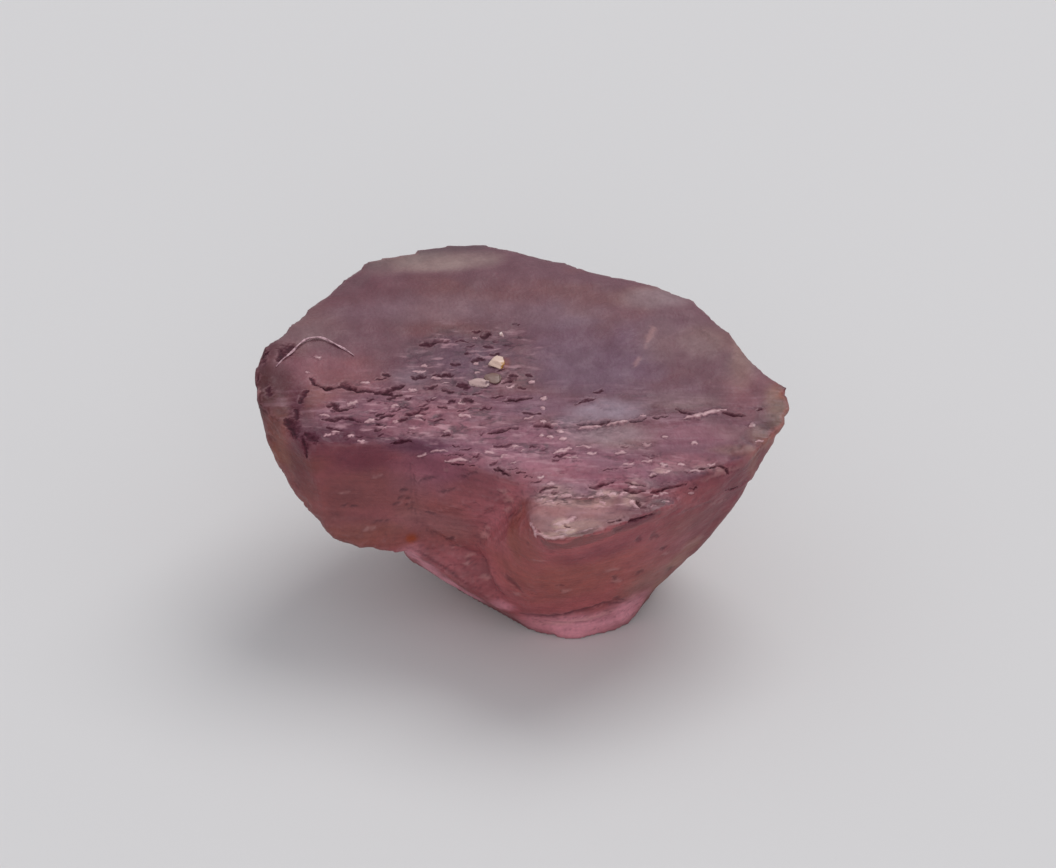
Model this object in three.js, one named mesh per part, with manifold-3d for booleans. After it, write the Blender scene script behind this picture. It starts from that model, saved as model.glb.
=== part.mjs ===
// A rough sapphire: a water-worn, broken crystal about 7 mm long, lying on its narrow end.
//
// The stone is one solid. Its broken faces group into a few forms, which are joined here:
//   crown     the wide upper block, whose top is a flat parting face with a level back margin
//   shoulder  the front right of the top, which falls away a little more steeply
//   keel      the narrower body that the crown rests on, with the base facet under it
//   prow      the bulging front right of the body, whose upper face shows as a ledge
//   toe       a small wedge that sticks out at the foot of the prow
// Then a few shallow flake scars are cut out of them.
// Units are millimetres. +X runs along the longest side, +Y goes to the back, and +Z is up.

import * as THREE from 'three';
import { ConvexGeometry } from 'three/addons/geometries/ConvexGeometry.js';
import { ImprovedNoise } from 'three/addons/math/ImprovedNoise.js';
import { TessellateModifier } from 'three/addons/modifiers/TessellateModifier.js';
import { mergeVertices } from 'three/addons/utils/BufferGeometryUtils.js';
import Module from 'manifold-3d';

const wasm = await Module();
wasm.setup();

// Driving dimensions.
const LENGTH = 7.0;            // left end to right tip
const TOP_LEVEL = 3.28;        // height of the top face on the line between the two ends
const TOP_SLOPE = 0.18;        // rise of the top face for each millimetre towards the back
const KEEL_SINK = 0.15;        // how far the keel goes below the ground before it is trimmed
const FACET_EDGE = 0.50;       // longest triangle edge on the broken faces
const FACET_PASSES = 12;       // halvings that bring every edge under that length
const SWELL_HEIGHT = 0.07;     // how far the broken faces swell and dip
const SWELL_LENGTH = 1.5;      // distance from one swell to the next
const STONE_COLOUR = 0x765058; // mauve pink
const STONE_ROUGHNESS = 0.45;

const left = -LENGTH / 2;
const right = LENGTH / 2;

const corner = (x, y, z) => new THREE.Vector3(x, y, z);

// A corner on the rim of the top face, at the height that the face has there.
const rim = (x, y, drop = 0) => corner(x, y, TOP_LEVEL + TOP_SLOPE * y - drop);

const block = (corners) => new ConvexGeometry(corners);

function toSolid(geometry) {
  const bare = geometry.clone();
  bare.deleteAttribute('normal');
  bare.deleteAttribute('uv');
  const merged = mergeVertices(bare, 1e-4);
  const vertProperties = new Float32Array(merged.attributes.position.array);
  const triVerts = new Uint32Array(merged.index.array);
  return new wasm.Manifold(new wasm.Mesh({ numProp: 3, vertProperties, triVerts }));
}

function toGeometry(solid) {
  const mesh = solid.getMesh();
  const geometry = new THREE.BufferGeometry();
  geometry.setAttribute('position', new THREE.BufferAttribute(mesh.vertProperties, 3));
  geometry.setIndex(new THREE.BufferAttribute(mesh.triVerts, 1));
  return geometry;
}

// The crown: the top face with its level back margin, and the undercut sides below it.
function crown() {
  const topFace = [
    rim(-2.85, 1.00), rim(-2.25, 1.70), rim(-1.75, 2.08), rim(-0.80, 2.24), rim(0.00, 2.27),
    rim(0.52, 2.10), rim(1.57, 1.84), rim(2.22, 1.43), rim(2.65, 0.77), rim(3.05, 0.15),
    rim(-2.79, -1.08), rim(-1.60, -1.08), rim(3.40, -0.52),
  ];
  const backMargin = [
    corner(left, 0.27, 3.29), corner(-3.37, 0.74, 3.36), corner(-3.08, 1.11, 3.42),
    corner(-2.79, 1.67, 3.50), corner(-2.00, 2.64, 3.62), corner(-1.35, 2.83, 3.66),
    corner(-0.94, 2.96, 3.67), corner(-0.43, 2.94, 3.67), corner(0.48, 2.57, 3.64),
    corner(1.34, 2.20, 3.60), corner(2.29, 1.79, 3.52), corner(2.82, 0.98, 3.38),
    corner(3.25, 0.29, 3.28), corner(3.46, -0.03, 3.24), corner(right, -0.46, 3.18),
  ];
  const frontFoot = [
    corner(-3.43, -0.30, 3.20), corner(-3.34, -0.30, 2.95), corner(-3.16, -0.40, 2.25),
    corner(-2.85, -0.70, 1.91), corner(-2.40, -0.95, 1.49), corner(-1.96, -1.00, 1.37),
    corner(-1.56, -0.96, 1.30), corner(0.00, -0.80, 1.50), corner(2.84, -0.66, 1.95),
  ];
  const backFoot = [
    corner(-3.30, 0.85, 2.60), corner(-2.85, 1.25, 1.85), corner(-2.00, 2.05, 1.50),
    corner(-0.80, 2.55, 1.70), corner(0.60, 2.40, 1.50), corner(1.80, 1.80, 1.60),
    corner(3.05, 0.20, 2.30), corner(2.86, 0.62, 1.80), corner(-2.20, 0.30, 1.30),
  ];
  return block([...topFace, ...backMargin, ...frontFoot, ...backFoot]);
}

// The shoulder: the front right of the top, which falls away a little more steeply.
function shoulder() {
  const top = [
    rim(-1.45, -1.06), rim(3.40, -0.50), rim(3.47, -0.62, 0.02), rim(3.40, -0.78, 0.02),
    rim(3.01, -1.22, 0.06), rim(2.48, -1.50, 0.09), rim(2.16, -1.67, 0.10),
    rim(1.65, -1.86, 0.12), rim(0.31, -1.83, 0.09), rim(0.02, -1.76, 0.08),
    rim(-0.41, -1.46, 0.04),
  ];
  const foot = [
    corner(-1.30, -1.00, 1.90), corner(-0.80, -1.00, 1.50), corner(0.00, -1.04, 1.20),
    corner(1.00, -1.50, 1.80), corner(1.95, -1.80, 2.40), corner(2.42, -1.45, 2.42),
    corner(2.97, -0.84, 2.26), corner(3.16, -0.85, 2.91), corner(1.00, 0.60, 2.60),
  ];
  return block([...top, ...foot]);
}

// The keel: the lower body, with the long front wall on its left and the base under it.
function keel() {
  const frontWall = [
    corner(-1.60, -0.80, 2.40), corner(0.10, -0.80, 2.40), corner(-1.43, -0.95, 1.37),
    corner(-1.05, -0.95, 1.09), corner(-0.66, -0.96, 0.83), corner(-0.33, -0.98, 0.59),
    corner(0.00, -1.00, 0.38),
  ];
  const leftSide = [
    corner(-0.43, -0.60, 0.36), corner(-0.68, -0.40, 0.35), corner(-1.14, -0.30, 0.58),
    corner(-1.53, -0.30, 0.88), corner(-1.75, 0.90, 1.35),
  ];
  const rightSide = [
    corner(2.75, -0.70, 1.85), corner(2.46, -0.60, 1.31), corner(2.12, -0.60, 0.91),
    corner(1.82, -0.60, 0.55), corner(2.80, 0.60, 1.90),
  ];
  const back = [
    corner(-1.50, 1.90, 1.60), corner(-0.60, 2.35, 1.00), corner(0.40, 2.50, 1.60),
    corner(1.60, 1.80, 1.40), corner(2.40, 0.80, 1.30),
  ];
  const base = [
    corner(0.40, -0.86, 0), corner(0.00, -0.42, 0), corner(-0.40, 0.00, 0),
    corner(-0.90, 0.50, 0), corner(-1.00, 1.20, 0), corner(-0.40, 1.80, 0),
    corner(0.80, 1.85, 0), corner(1.60, 1.30, 0), corner(1.75, 0.50, 0), corner(1.50, -0.20, 0),
  ];
  base.forEach((point) => point.setZ(-KEEL_SINK));
  return block([...frontWall, ...leftSide, ...rightSide, ...back, ...base]);
}

// The prow: the bulging front right of the lower body, whose upper face shows as a ledge.
function prow() {
  const ledge = [
    corner(0.12, -2.35, 2.60), corner(0.31, -2.60, 2.59), corner(0.50, -2.62, 2.59),
    corner(1.01, -2.45, 2.66), corner(1.51, -2.25, 2.73), corner(1.80, -2.10, 2.74),
    corner(0.08, -1.60, 2.71), corner(2.30, -1.20, 2.70),
  ];
  const rightSide = [
    corner(2.95, -0.82, 2.30), corner(2.75, -0.75, 1.85), corner(2.44, -0.66, 1.33),
    corner(1.80, -0.62, 0.57),
  ];
  const front = [
    corner(0.95, -1.90, 1.66), corner(0.57, -1.15, 0.46), corner(1.07, -1.10, 0.50),
    corner(1.40, -0.95, 0.45), corner(0.03, -1.01, 0.40), corner(0.10, -1.62, 1.60),
  ];
  const leftFlank = [
    corner(-0.42, -1.06, 1.95), corner(-0.52, -1.16, 1.50), corner(-0.35, -1.12, 0.95),
  ];
  return block([...ledge, ...rightSide, ...front, ...leftFlank, corner(0.60, 0.00, 1.50)]);
}

// The toe: a wedge under the prow that reaches furthest forward on the ground.
function toe() {
  const upperEdge = [
    corner(-0.02, -0.93, 0.36), corner(0.20, -1.02, 0.37), corner(0.54, -1.10, 0.45),
    corner(0.80, -1.10, 0.52), corner(1.06, -1.06, 0.56), corner(1.40, -0.90, 0.52),
    corner(1.80, -0.50, 0.48),
  ];
  const lowerEdge = [
    corner(0.36, -0.98, 0.07), corner(0.74, -1.04, -KEEL_SINK), corner(1.22, -0.84, -KEEL_SINK),
    corner(1.38, -0.60, -KEEL_SINK), corner(1.59, -0.48, 0.17),
  ];
  const heel = [corner(0.60, 0.20, -KEEL_SINK), corner(0.60, 0.20, 0.50)];
  return block([...upperEdge, ...lowerEdge, ...heel]);
}

// A flake scar: the shallow dish that a ball of this radius leaves where it bites the stone.
function flakeScar(x, y, z, radius) {
  const steps = Math.ceil((Math.PI * radius) / FACET_EDGE);
  const ball = new THREE.SphereGeometry(radius, 2 * steps, steps);
  ball.translate(x, y, z);
  return ball;
}

// Scars on the right and left ends of the back rim, then on the back and the left underside.
function flakeScars() {
  return [
    flakeScar(4.72, 1.55, 3.30, 2.00),
    flakeScar(-4.70, 2.22, 3.30, 2.00),
    flakeScar(0.60, 5.38, 1.60, 3.00),
    flakeScar(-3.52, 3.28, 2.00, 2.00),
    flakeScar(-2.70, 0.60, -0.10, 1.55),
  ];
}

// The broken faces are divided into small triangles, so that they can bend.
function divided(geometry) {
  const loose = geometry.toNonIndexed();
  return new TessellateModifier(FACET_EDGE, FACET_PASSES).modify(loose);
}

// Broken faces are never quite flat, so space itself is bent by a slow, smooth swell.
function swollen(geometry) {
  const noise = new ImprovedNoise();
  const positions = geometry.attributes.position;
  const shift = (point, seed) =>
    SWELL_HEIGHT * noise.noise(
      point.x / SWELL_LENGTH + seed,
      point.y / SWELL_LENGTH + seed,
      point.z / SWELL_LENGTH + seed,
    );
  for (let i = 0; i < positions.count; i += 1) {
    const point = new THREE.Vector3().fromBufferAttribute(positions, i);
    positions.setXYZ(
      i,
      point.x + shift(point, 11.3),
      point.y + shift(point, 37.7),
      point.z + shift(point, 71.9),
    );
  }
  return geometry;
}

// Everything below the ground is trimmed off, which leaves the facet that the stone rests on.
function trimmedAtGround(solid) {
  const ground = new THREE.BoxGeometry(3 * LENGTH, 3 * LENGTH, LENGTH);
  ground.translate(0, 0, -LENGTH / 2);
  return solid.subtract(toSolid(ground));
}

function stoneGeometry() {
  const blocks = [crown(), shoulder(), keel(), prow(), toe()].map(toSolid);
  const whole = blocks.reduce((joined, next) => joined.add(next));
  const chipped = flakeScars().map(toSolid).reduce((rest, scar) => rest.subtract(scar), whole);
  const bent = toSolid(swollen(divided(toGeometry(chipped))));
  const geometry = toGeometry(trimmedAtGround(bent));
  geometry.computeBoundingBox();
  const middle = geometry.boundingBox.getCenter(new THREE.Vector3());
  geometry.translate(-middle.x, -middle.y, 0);
  return geometry;
}

function sapphireMaterial() {
  return new THREE.MeshStandardMaterial({
    color: STONE_COLOUR,
    roughness: STONE_ROUGHNESS,
    metalness: 0,
  });
}

const stone = new THREE.Mesh(stoneGeometry(), sapphireMaterial());
stone.name = 'rough_sapphire';

const sapphire = new THREE.Group();
sapphire.add(stone);

export default sapphire;
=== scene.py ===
# %% [markdown]
# # A rough sapphire
# A small piece of water-worn sapphire, about 7 mm long, lies on its narrow end. Its broad top is
# a parting face: a flat break across the crystal, full of little steps, pits and cracks. A lint
# fibre and four mineral grains lie on it. Everything is in metres, in the frame of the packed
# solid, which is loaded first and gives the stone its size and place.

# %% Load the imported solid
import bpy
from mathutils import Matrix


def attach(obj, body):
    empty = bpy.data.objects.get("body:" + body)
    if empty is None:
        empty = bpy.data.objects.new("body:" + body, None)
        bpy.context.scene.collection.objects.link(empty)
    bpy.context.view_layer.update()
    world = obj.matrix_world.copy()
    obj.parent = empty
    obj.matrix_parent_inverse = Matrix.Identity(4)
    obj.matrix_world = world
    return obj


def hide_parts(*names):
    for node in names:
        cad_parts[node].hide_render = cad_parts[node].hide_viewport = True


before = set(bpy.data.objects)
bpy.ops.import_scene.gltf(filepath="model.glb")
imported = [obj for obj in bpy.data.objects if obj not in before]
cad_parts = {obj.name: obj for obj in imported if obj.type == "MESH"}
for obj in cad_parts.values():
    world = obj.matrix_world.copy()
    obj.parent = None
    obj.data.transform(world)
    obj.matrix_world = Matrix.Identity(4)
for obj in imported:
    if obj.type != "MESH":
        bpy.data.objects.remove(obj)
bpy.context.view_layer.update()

# %% [markdown]
# ## Camera
# A stone this small is looked at through a long lens, so its near and far ends keep one scale.
# The camera is made first, because the marks on the stone are placed by where they lie in its
# frame: a ray goes from the lens through that pixel, and the mark sits where it meets the stone.

# %% Place the camera
import math
import random

import bmesh
import bpy
import numpy as np
from mathutils import Matrix, Vector, kdtree, noise
from mathutils.bvhtree import BVHTree

MM = 0.001
FRAME_WIDTH = 1056        # pixels
FRAME_HEIGHT = 868
SENSOR_WIDTH = 36.0       # mm
LENS = 210.0              # mm
CAMERA_ELEVATION = math.radians(32)
CAMERA_DISTANCE = 80.0    # mm
AIM = Vector((0.097, -0.17, 2.53))   # mm, the point in the middle of the frame
FOCAL_PIXELS = LENS / SENSOR_WIDTH * FRAME_WIDTH
PIXEL = CAMERA_DISTANCE / FOCAL_PIXELS   # mm that one pixel covers on the stone

view_ahead = Vector((0, math.cos(CAMERA_ELEVATION), -math.sin(CAMERA_ELEVATION)))
view_up = Vector((0, math.sin(CAMERA_ELEVATION), math.cos(CAMERA_ELEVATION)))
view_right = Vector((1, 0, 0))
eye = AIM - view_ahead * CAMERA_DISTANCE

camera_data = bpy.data.cameras.new("camera")
camera_data.lens = LENS
camera_data.sensor_width = SENSOR_WIDTH
camera_data.clip_start = 0.001   # metres
camera_data.clip_end = 5.0
camera = bpy.data.objects.new("camera", camera_data)
camera.location = eye * MM
camera.rotation_euler = (math.pi / 2 - CAMERA_ELEVATION, 0, 0)
bpy.context.scene.collection.objects.link(camera)
bpy.context.scene.camera = camera
print("one pixel is", round(PIXEL, 4), "mm on the stone")

# %% [markdown]
# ## Helpers for colour, nodes and objects
# Colours are written as the hex values that a screen shows, and one function turns them into the
# linear light that Blender works in. One more function adds any shader node with its settings
# and its links, so that a material reads as a short list. A material is started empty, filled
# with nodes, and finished with the one shader that they all lead to.

# %% Colour and node helpers
def linear(hex_colour, alpha=1.0):
    """An sRGB hex colour as linear light."""
    channels = [int(hex_colour[i:i + 2], 16) / 255 for i in (1, 3, 5)]
    return [c / 12.92 if c <= 0.04045 else ((c + 0.055) / 1.055) ** 2.4 for c in channels] + [alpha]


def add_node(tree, kind, settings=None, inputs=None, take=0):
    """Adds a node and returns one of its outputs. An input is a value, or an output to link."""
    node = tree.nodes.new("ShaderNode" + kind)
    for name, value in (settings or {}).items():
        setattr(node, name, value)
    for key, value in (inputs or {}).items():
        if isinstance(value, bpy.types.NodeSocket):
            tree.links.new(value, node.inputs[key])
        else:
            node.inputs[key].default_value = value
    return node.outputs[take] if node.outputs else node


def empty_tree(name):
    """The node tree of a new, empty material."""
    material = bpy.data.materials.new(name)
    material.use_nodes = True
    material.node_tree.nodes.clear()
    return material.node_tree


def finished_material(name, inputs, volume=None):
    """Gives a material its one Principled shader, and what fills the piece below the surface."""
    material = bpy.data.materials[name]
    tree = material.node_tree
    surface = add_node(tree, "BsdfPrincipled", inputs=inputs)
    below = {"Volume": volume} if volume else {}
    add_node(tree, "OutputMaterial", inputs={"Surface": surface, **below})
    return material


def new_object(name, mesh):
    """A finished piece at the origin, with smooth shading."""
    mesh.polygons.foreach_set("use_smooth", [True] * len(mesh.polygons))
    piece = bpy.data.objects.new(name, mesh)
    bpy.context.scene.collection.objects.link(piece)
    return piece


def smoothstep(low, high, value):
    """0 below low, 1 above high, and a smooth rise between."""
    t = np.clip((value - low) / (high - low), 0, 1)
    return t * t * (3 - 2 * t)


print("mid grey, #808080, is", round(linear("#808080")[0], 3), "in linear light")

# %% [markdown]
# ## The stone's fine skin
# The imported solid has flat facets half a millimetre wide. A worn crystal has soft, rounded
# breaks, so the solid is copied, turned into an even skin by the Remesh modifier, and smoothed.
# Smoothing everything would melt the rim away. So the skin is smoothed twice, lightly and a lot,
# and the strong smoothing is kept only where it moves the surface very little: that wipes out the
# facet borders and leaves the real edges. The work is done in millimetres and shrunk at the end.

# %% Remesh and smooth the stone
SAME_POINT = 1e-6           # metres: the solid's triangles are loose, and their corners are merged
SKIN_STEP = 0.065           # mm between the skin's points
LIGHT_SMOOTHING = 2         # passes
STRONG_SMOOTHING = 60
KEPT_EDGE = (0.010, 0.035)  # mm that strong smoothing may move: all of it, none of it
ALL_WAYS = {"use_axis_x": True, "use_axis_y": True, "use_axis_z": True}

solid = bmesh.new()
solid.from_mesh(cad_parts["rough_sapphire"].data)
bmesh.ops.remove_doubles(solid, verts=solid.verts, dist=SAME_POINT)
bmesh.ops.scale(solid, vec=(1 / MM,) * 3, verts=solid.verts)
rough_mesh = bpy.data.meshes.new("rough_skin")
solid.to_mesh(rough_mesh)
solid.free()
rough_object = new_object("rough_skin", rough_mesh)
remesh = rough_object.modifiers.new("even skin", "REMESH")
remesh.mode = "VOXEL"
remesh.voxel_size = SKIN_STEP
remesh.adaptivity = 0

skin = bmesh.new()
skin.from_object(rough_object, bpy.context.evaluated_depsgraph_get())
bpy.data.objects.remove(rough_object)


def smooth(passes):
    """Moves each point half way to the middle of its neighbours, and returns the places."""
    for _ in range(passes):
        bmesh.ops.smooth_vert(skin, verts=skin.verts, factor=0.5, **ALL_WAYS)
    return np.array([vertex.co for vertex in skin.verts])


edged = smooth(LIGHT_SMOOTHING)
melted = smooth(STRONG_SMOOTHING)
shift = np.linalg.norm(melted - edged, axis=1)
keep_edge = smoothstep(*KEPT_EDGE, shift)[:, None]
blended = melted * (1 - keep_edge) + edged * keep_edge
on_ground = edged[:, 2] < SKIN_STEP / 2
blended[on_ground, 2] = 0
for vertex, place in zip(skin.verts, blended):
    vertex.co = place
skin.normal_update()
area = sum(face.calc_area() for face in skin.faces)
print("skin:", len(skin.faces), "faces,", round(area, 1), "mm2")

# %% [markdown]
# ## Where the cracks and ridges are
# Cracks run along the weak planes of the crystal, so they are thin and nearly parallel. They are
# painted dark, partly as dirt and partly as painted shade, because light that enters them doesn't
# come back. A ridge is the raised lip of a break, and its shine is a painted highlight. Faint lines
# are the soft folds and scratches of the walls. Noise could draw all of them, but never in the
# places that make this one stone what it is. So each is a short line of pixels in the frame, and the
# skin behind those pixels will carry it.

# %% Cracks
# name: (half width in pixels, depth in mm, points in pixels)
CRACKS = {
    "hook start": (1.5, 0.025, ((310, 377), (314, 383), (321, 387), (331, 388.5))),
    "hook bend": (2.7, 0.036, ((320, 387), (331, 388), (341, 385.5), (348, 387), (356, 390))),
    "hook": (2.1, 0.034, ((347, 387), (358, 391), (366, 390.5), (377, 392.5), (392, 392.5))),
    "hook tip": (2.2, 0.035, ((381, 393), (388, 391), (394, 388.5), (405, 386.5))),
    "hook branch": (1.5, 0.030, ((386, 393), (393, 394.5), (403, 394.5))),
    "second step": (2.4, 0.040, ((326, 406), (334, 405), (336, 409), (340, 410), (347, 408),
                                 (353, 406))),
    "third step": (1.8, 0.030, ((321, 419), (334, 421), (342, 419), (349, 419), (356, 421),
                               (363, 423))),
    "middle step": (1.5, 0.045, ((501, 402), (511, 400), (520, 399), (533, 397))),
    "main 1": (1.4, 0.045, ((486, 433.5), (498, 432), (510, 429), (519, 429))),
    "main 2": (1.5, 0.04, ((532, 427), (546, 426), (553, 428))),
    "main 3": (1.5, 0.045, ((576, 424), (599, 423.5), (611, 420))),
    "main 4": (1.4, 0.045, ((629, 422), (638, 420.5), (647, 419))),
    "main 5": (1.4, 0.045, ((652, 418.5), (661, 418), (669, 416))),
    "main 6": (1.3, 0.04, ((675, 408), (682, 412), (690, 414), (698, 414))),
    "main 7": (1.3, 0.04, ((722, 412), (733, 414.5), (741, 415), (752, 415.5))),
    "tip": (1.3, 0.03, ((756, 409), (763, 408))),
    "riser": (1.5, 0.045, ((588, 487), (595, 488), (601, 484), (614, 482))),
    "riser right": (1.4, 0.040, ((624, 482), (630, 482.5), (637, 485), (646, 486))),
    "riser low": (1.4, 0.040, ((623, 489.5), (632, 493), (646, 491))),
    "riser far": (1.6, 0.045, ((650, 493.5), (664, 489), (675, 487), (688, 484))),
    "ledge notch": (2.0, 0.05, ((636, 501), (640, 506), (646, 508))),
    "ledge foot": (1.7, 0.04, ((607, 522), (614, 520), (622, 518.5))),
    "ledge foot right": (2.4, 0.05, ((628, 523), (640, 519), (656, 514))),
    "cluster arc": (1.4, 0.04, ((539, 493), (547, 488), (558, 487))),
    # The corner fold and the corner shade are painted shade in the folds of the left corner, carved
    # as shallow cracks.
    "corner fold": (1.6, 0.025, ((309, 390), (304, 395), (299, 404))),
    "corner shade": (1.5, 0.020, ((295, 408), (297, 414), (297, 420))),
    "corner crease": (3.0, 0.035, ((286, 418), (289, 426), (293, 432), (297, 438))),
    "corner low": (2.0, 0.030, ((302, 435), (303, 443), (305, 451), (306, 459))),
    "corner nick": (4.6, 0.045, ((305, 433), (311, 437), (318, 441))),
    "right loop": (1.5, 0.04, ((709, 469), (717, 465.6), (725.6, 468), (728, 474))),
    "front lip": (1.5, 0.030, ((446, 462), (455, 464), (465, 464.5), (476, 466))),
    "front lip back": (1.0, 0.02, ((443, 456), (453, 454.6), (464, 455))),
    "rim step": (1.6, 0.030, ((497, 467), (504, 473), (511, 476))),
    "rim step low": (1.6, 0.030, ((515, 473), (520, 472.6), (526, 473))),
}
print(len(CRACKS), "cracks")

# %% Ridges and faint lines
# name: (half width in pixels, height in mm, points in pixels)
RIDGES = {
    "main a": (1.6, 0.025, ((578, 428.5), (590, 427), (602, 426))),
    "main b": (1.9, 0.03, ((606, 425), (617, 423), (628, 421))),
    "main c": (2.4, 0.03, ((683, 421), (692, 419), (703, 416))),
    "main d": (2.4, 0.03, ((700, 416.5), (713, 412), (727, 409))),
    "ledge rim": (1.6, 0.03, ((529, 523), (536, 533), (549, 538.5), (565, 536.5), (580, 532),
                              (601, 526))),
    "notch lip": (1.8, 0.03, ((630, 500), (634, 504), (639, 508))),
    "front lip": (1.9, 0.022, ((445, 461), (455, 460), (463, 460), (472, 463))),
    "front lip left": (1.5, 0.018, ((430, 452), (437, 450.5), (448, 451))),
    "front step": (1.1, 0.014, ((415, 456), (421, 456), (427, 453))),
    "third step": (1.5, 0.02, ((318, 416.5), (324, 416), (330, 418))),
}
# Faint lines are given in the same way, with a height below 0 where they are darker than the skin.
FAINT = {
    # The toe line is a painted shadow, cast by the body where it overhangs the toe.
    "toe line": (1.6, -0.022, ((518, 614), (536, 617), (562, 616), (579, 611), (602, 604),
                               (632, 602))),
    "strip line": (1.2, -0.006, ((402, 546), (416, 551), (430, 559), (450, 572), (476, 590))),
    "hollow slant": (1.6, -0.012, ((504, 574), (513, 583), (524, 593))),
    "scratch": (1.2, 0.005, ((656, 321), (650, 336), (645, 350))),
    "scratch low": (1.0, 0.004, ((640, 356), (634, 368))),
    "low right": (2.4, 0.010, ((680, 549), (692, 541), (704, 534))),
    "right rim": (2.2, 0.012, ((700, 482), (717, 474), (738, 467), (752, 455))),
    "toe rim": (1.6, 0.008, ((530, 624), (560, 623), (590, 618), (620, 608))),
}
print(len(RIDGES), "ridges and", len(FAINT), "faint lines")

# %% [markdown]
# ## Where the small marks are
# A parting face flakes, and leaves hundreds of tiny steps. A dash is such a step where it faces the
# viewer, with a foot painted dark as shade and a pale lip above it. A fleck is a fresh chip whose
# shine is a painted highlight. A faint mark is a soft dent or bump of the walls. A blot is a pocket
# that holds dirt. They are too short to need a line of their own. So each is a middle point and a
# length in pixels, and its crooked shape is drawn from seeded dice, which fall the same way each
# time.

# %% Dashes
# Steps that face the viewer: (u, v, length) in pixels. The deep ones come first.
DEEP_DASHES = (
    (434, 343.5, 26), (478, 360, 12), (448, 392, 12), (467, 401.5, 11), (462, 386.5, 10),
    (443.5, 375.5, 18), (385, 417.4, 17), (414, 413.6, 16), (446, 436, 8), (404, 441, 12),
    (513, 377, 9), (507, 382, 9), (403, 420, 9), (381, 425, 9), (485.6, 335, 10), (398.6, 443, 15),
    (503, 447, 16), (378, 430, 8), (417, 377, 11), (380, 414, 8),
)
DASHES = (
    (262.6, 343, 8), (462, 342, 13), (468, 354, 7), (494, 355, 9), (497, 396, 12), (467, 388, 6),
    (433, 387.5, 9), (395, 410, 11), (404, 407, 9), (423.5, 405, 9), (420.6, 419, 9), (410, 432, 9),
    (380, 435, 7), (381, 378.5, 10), (386, 374.5, 8), (419, 377, 12), (488, 347, 9), (476, 331, 8),
    (424.4, 409, 8), (442.5, 407.4, 9), (464, 410.5, 12), (485.6, 408.5, 11), (537, 415, 9),
    (440, 420.6, 12), (482, 434, 6), (528, 414, 10), (533, 447, 6), (456, 446, 7), (465, 450, 11),
    (528.5, 375.5, 6), (515, 324, 6), (598, 392, 9), (590, 399.5, 10), (579, 403, 10),
    (624.7, 447, 9), (542, 450, 7), (563.5, 455, 18), (556, 461, 6), (648.6, 457, 12),
    (627.6, 468, 10), (653, 476, 7), (609, 471, 11), (535, 482.5, 11), (478, 455.5, 10),
    (494, 463.5, 8), (499, 470, 9), (513, 469.5, 10), (528, 477, 9), (334, 429, 14),
    (359, 436.5, 7), (702, 469.5, 7), (690, 473, 7), (731, 488.5, 12), (694, 489, 8), (555, 493, 8),
    (562, 502.5, 12), (604, 497, 9), (567, 525.5, 5), (470, 346, 8), (456, 365, 9), (500, 371, 8),
    (522, 388, 8), (370, 400, 7), (430, 400, 8), (451, 402, 7), (391, 398, 8), (408, 399, 7),
    (476, 394, 8),
)
print(len(DEEP_DASHES), "deep dashes and", len(DASHES), "small ones")

# %% Flecks
# Fresh chips and lips, painted pale as highlights: (u, v, length) in pixels.
FLECKS = (
    (560, 530, 13), (569, 529, 10), (565, 521, 15), (572, 518.5, 8), (557, 524, 7), (563, 533.5, 8),
    (545, 536, 9), (540, 500, 6), (548, 491, 8), (571, 497, 6), (590, 497, 6), (421, 371, 8),
    (308, 372, 4), (318, 357, 5), (352, 403.5, 9), (327, 435, 7), (336, 432, 6), (350, 435, 5),
    (361, 441, 6), (419, 370.5, 12), (412, 390, 7), (396, 422, 6), (395, 406, 6), (412, 428, 6),
    (383, 429, 5), (369, 421, 8), (419, 416, 7), (501.4, 334.4, 4), (475, 337, 4), (424, 366, 6),
    (437, 379, 9), (476, 364, 4), (477, 372, 5), (434, 397.5, 5), (462, 403, 6), (544, 397.5, 5),
    (543, 407.6, 4), (467, 417, 7), (510, 386.5, 7), (531.5, 381, 5), (515, 447, 6),
    (521.5, 451, 4), (504, 457, 6), (513, 464, 6), (540.6, 478, 6), (463, 416, 7), (446, 431.6, 7),
    (529, 418, 9), (543.5, 422.5, 5), (540.6, 436, 5), (554, 424, 6), (560, 431.6, 6),
    (550, 438, 6), (563.5, 440, 7), (562.5, 451, 16), (583.6, 447, 14), (592, 454, 8),
    (570, 458, 13), (621, 453, 10), (665, 437, 5), (647, 444.5, 7), (628, 464, 9), (647, 461, 9),
    (653, 474, 7), (666, 472, 6), (550.6, 483, 6), (546, 495, 9), (553, 497, 8), (559, 492, 8),
    (565, 496, 8), (550, 502, 8), (568, 489, 7), (578, 498, 7), (600, 494, 8), (611, 494, 7),
    (602, 502, 6), (624, 493, 8), (633, 487.6, 7), (653, 506, 6), (665, 501.5, 8), (664, 493, 7),
    (655, 496, 6), (752, 424.5, 5), (695, 442.7, 5), (760, 441, 9), (681, 465, 7), (695, 471, 9),
    (711, 465, 7), (664, 465, 7), (692, 493, 6), (643, 416, 5), (489, 452, 9), (445, 383, 7),
    (365, 383, 8),
)
print(len(FLECKS), "flecks")

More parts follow.
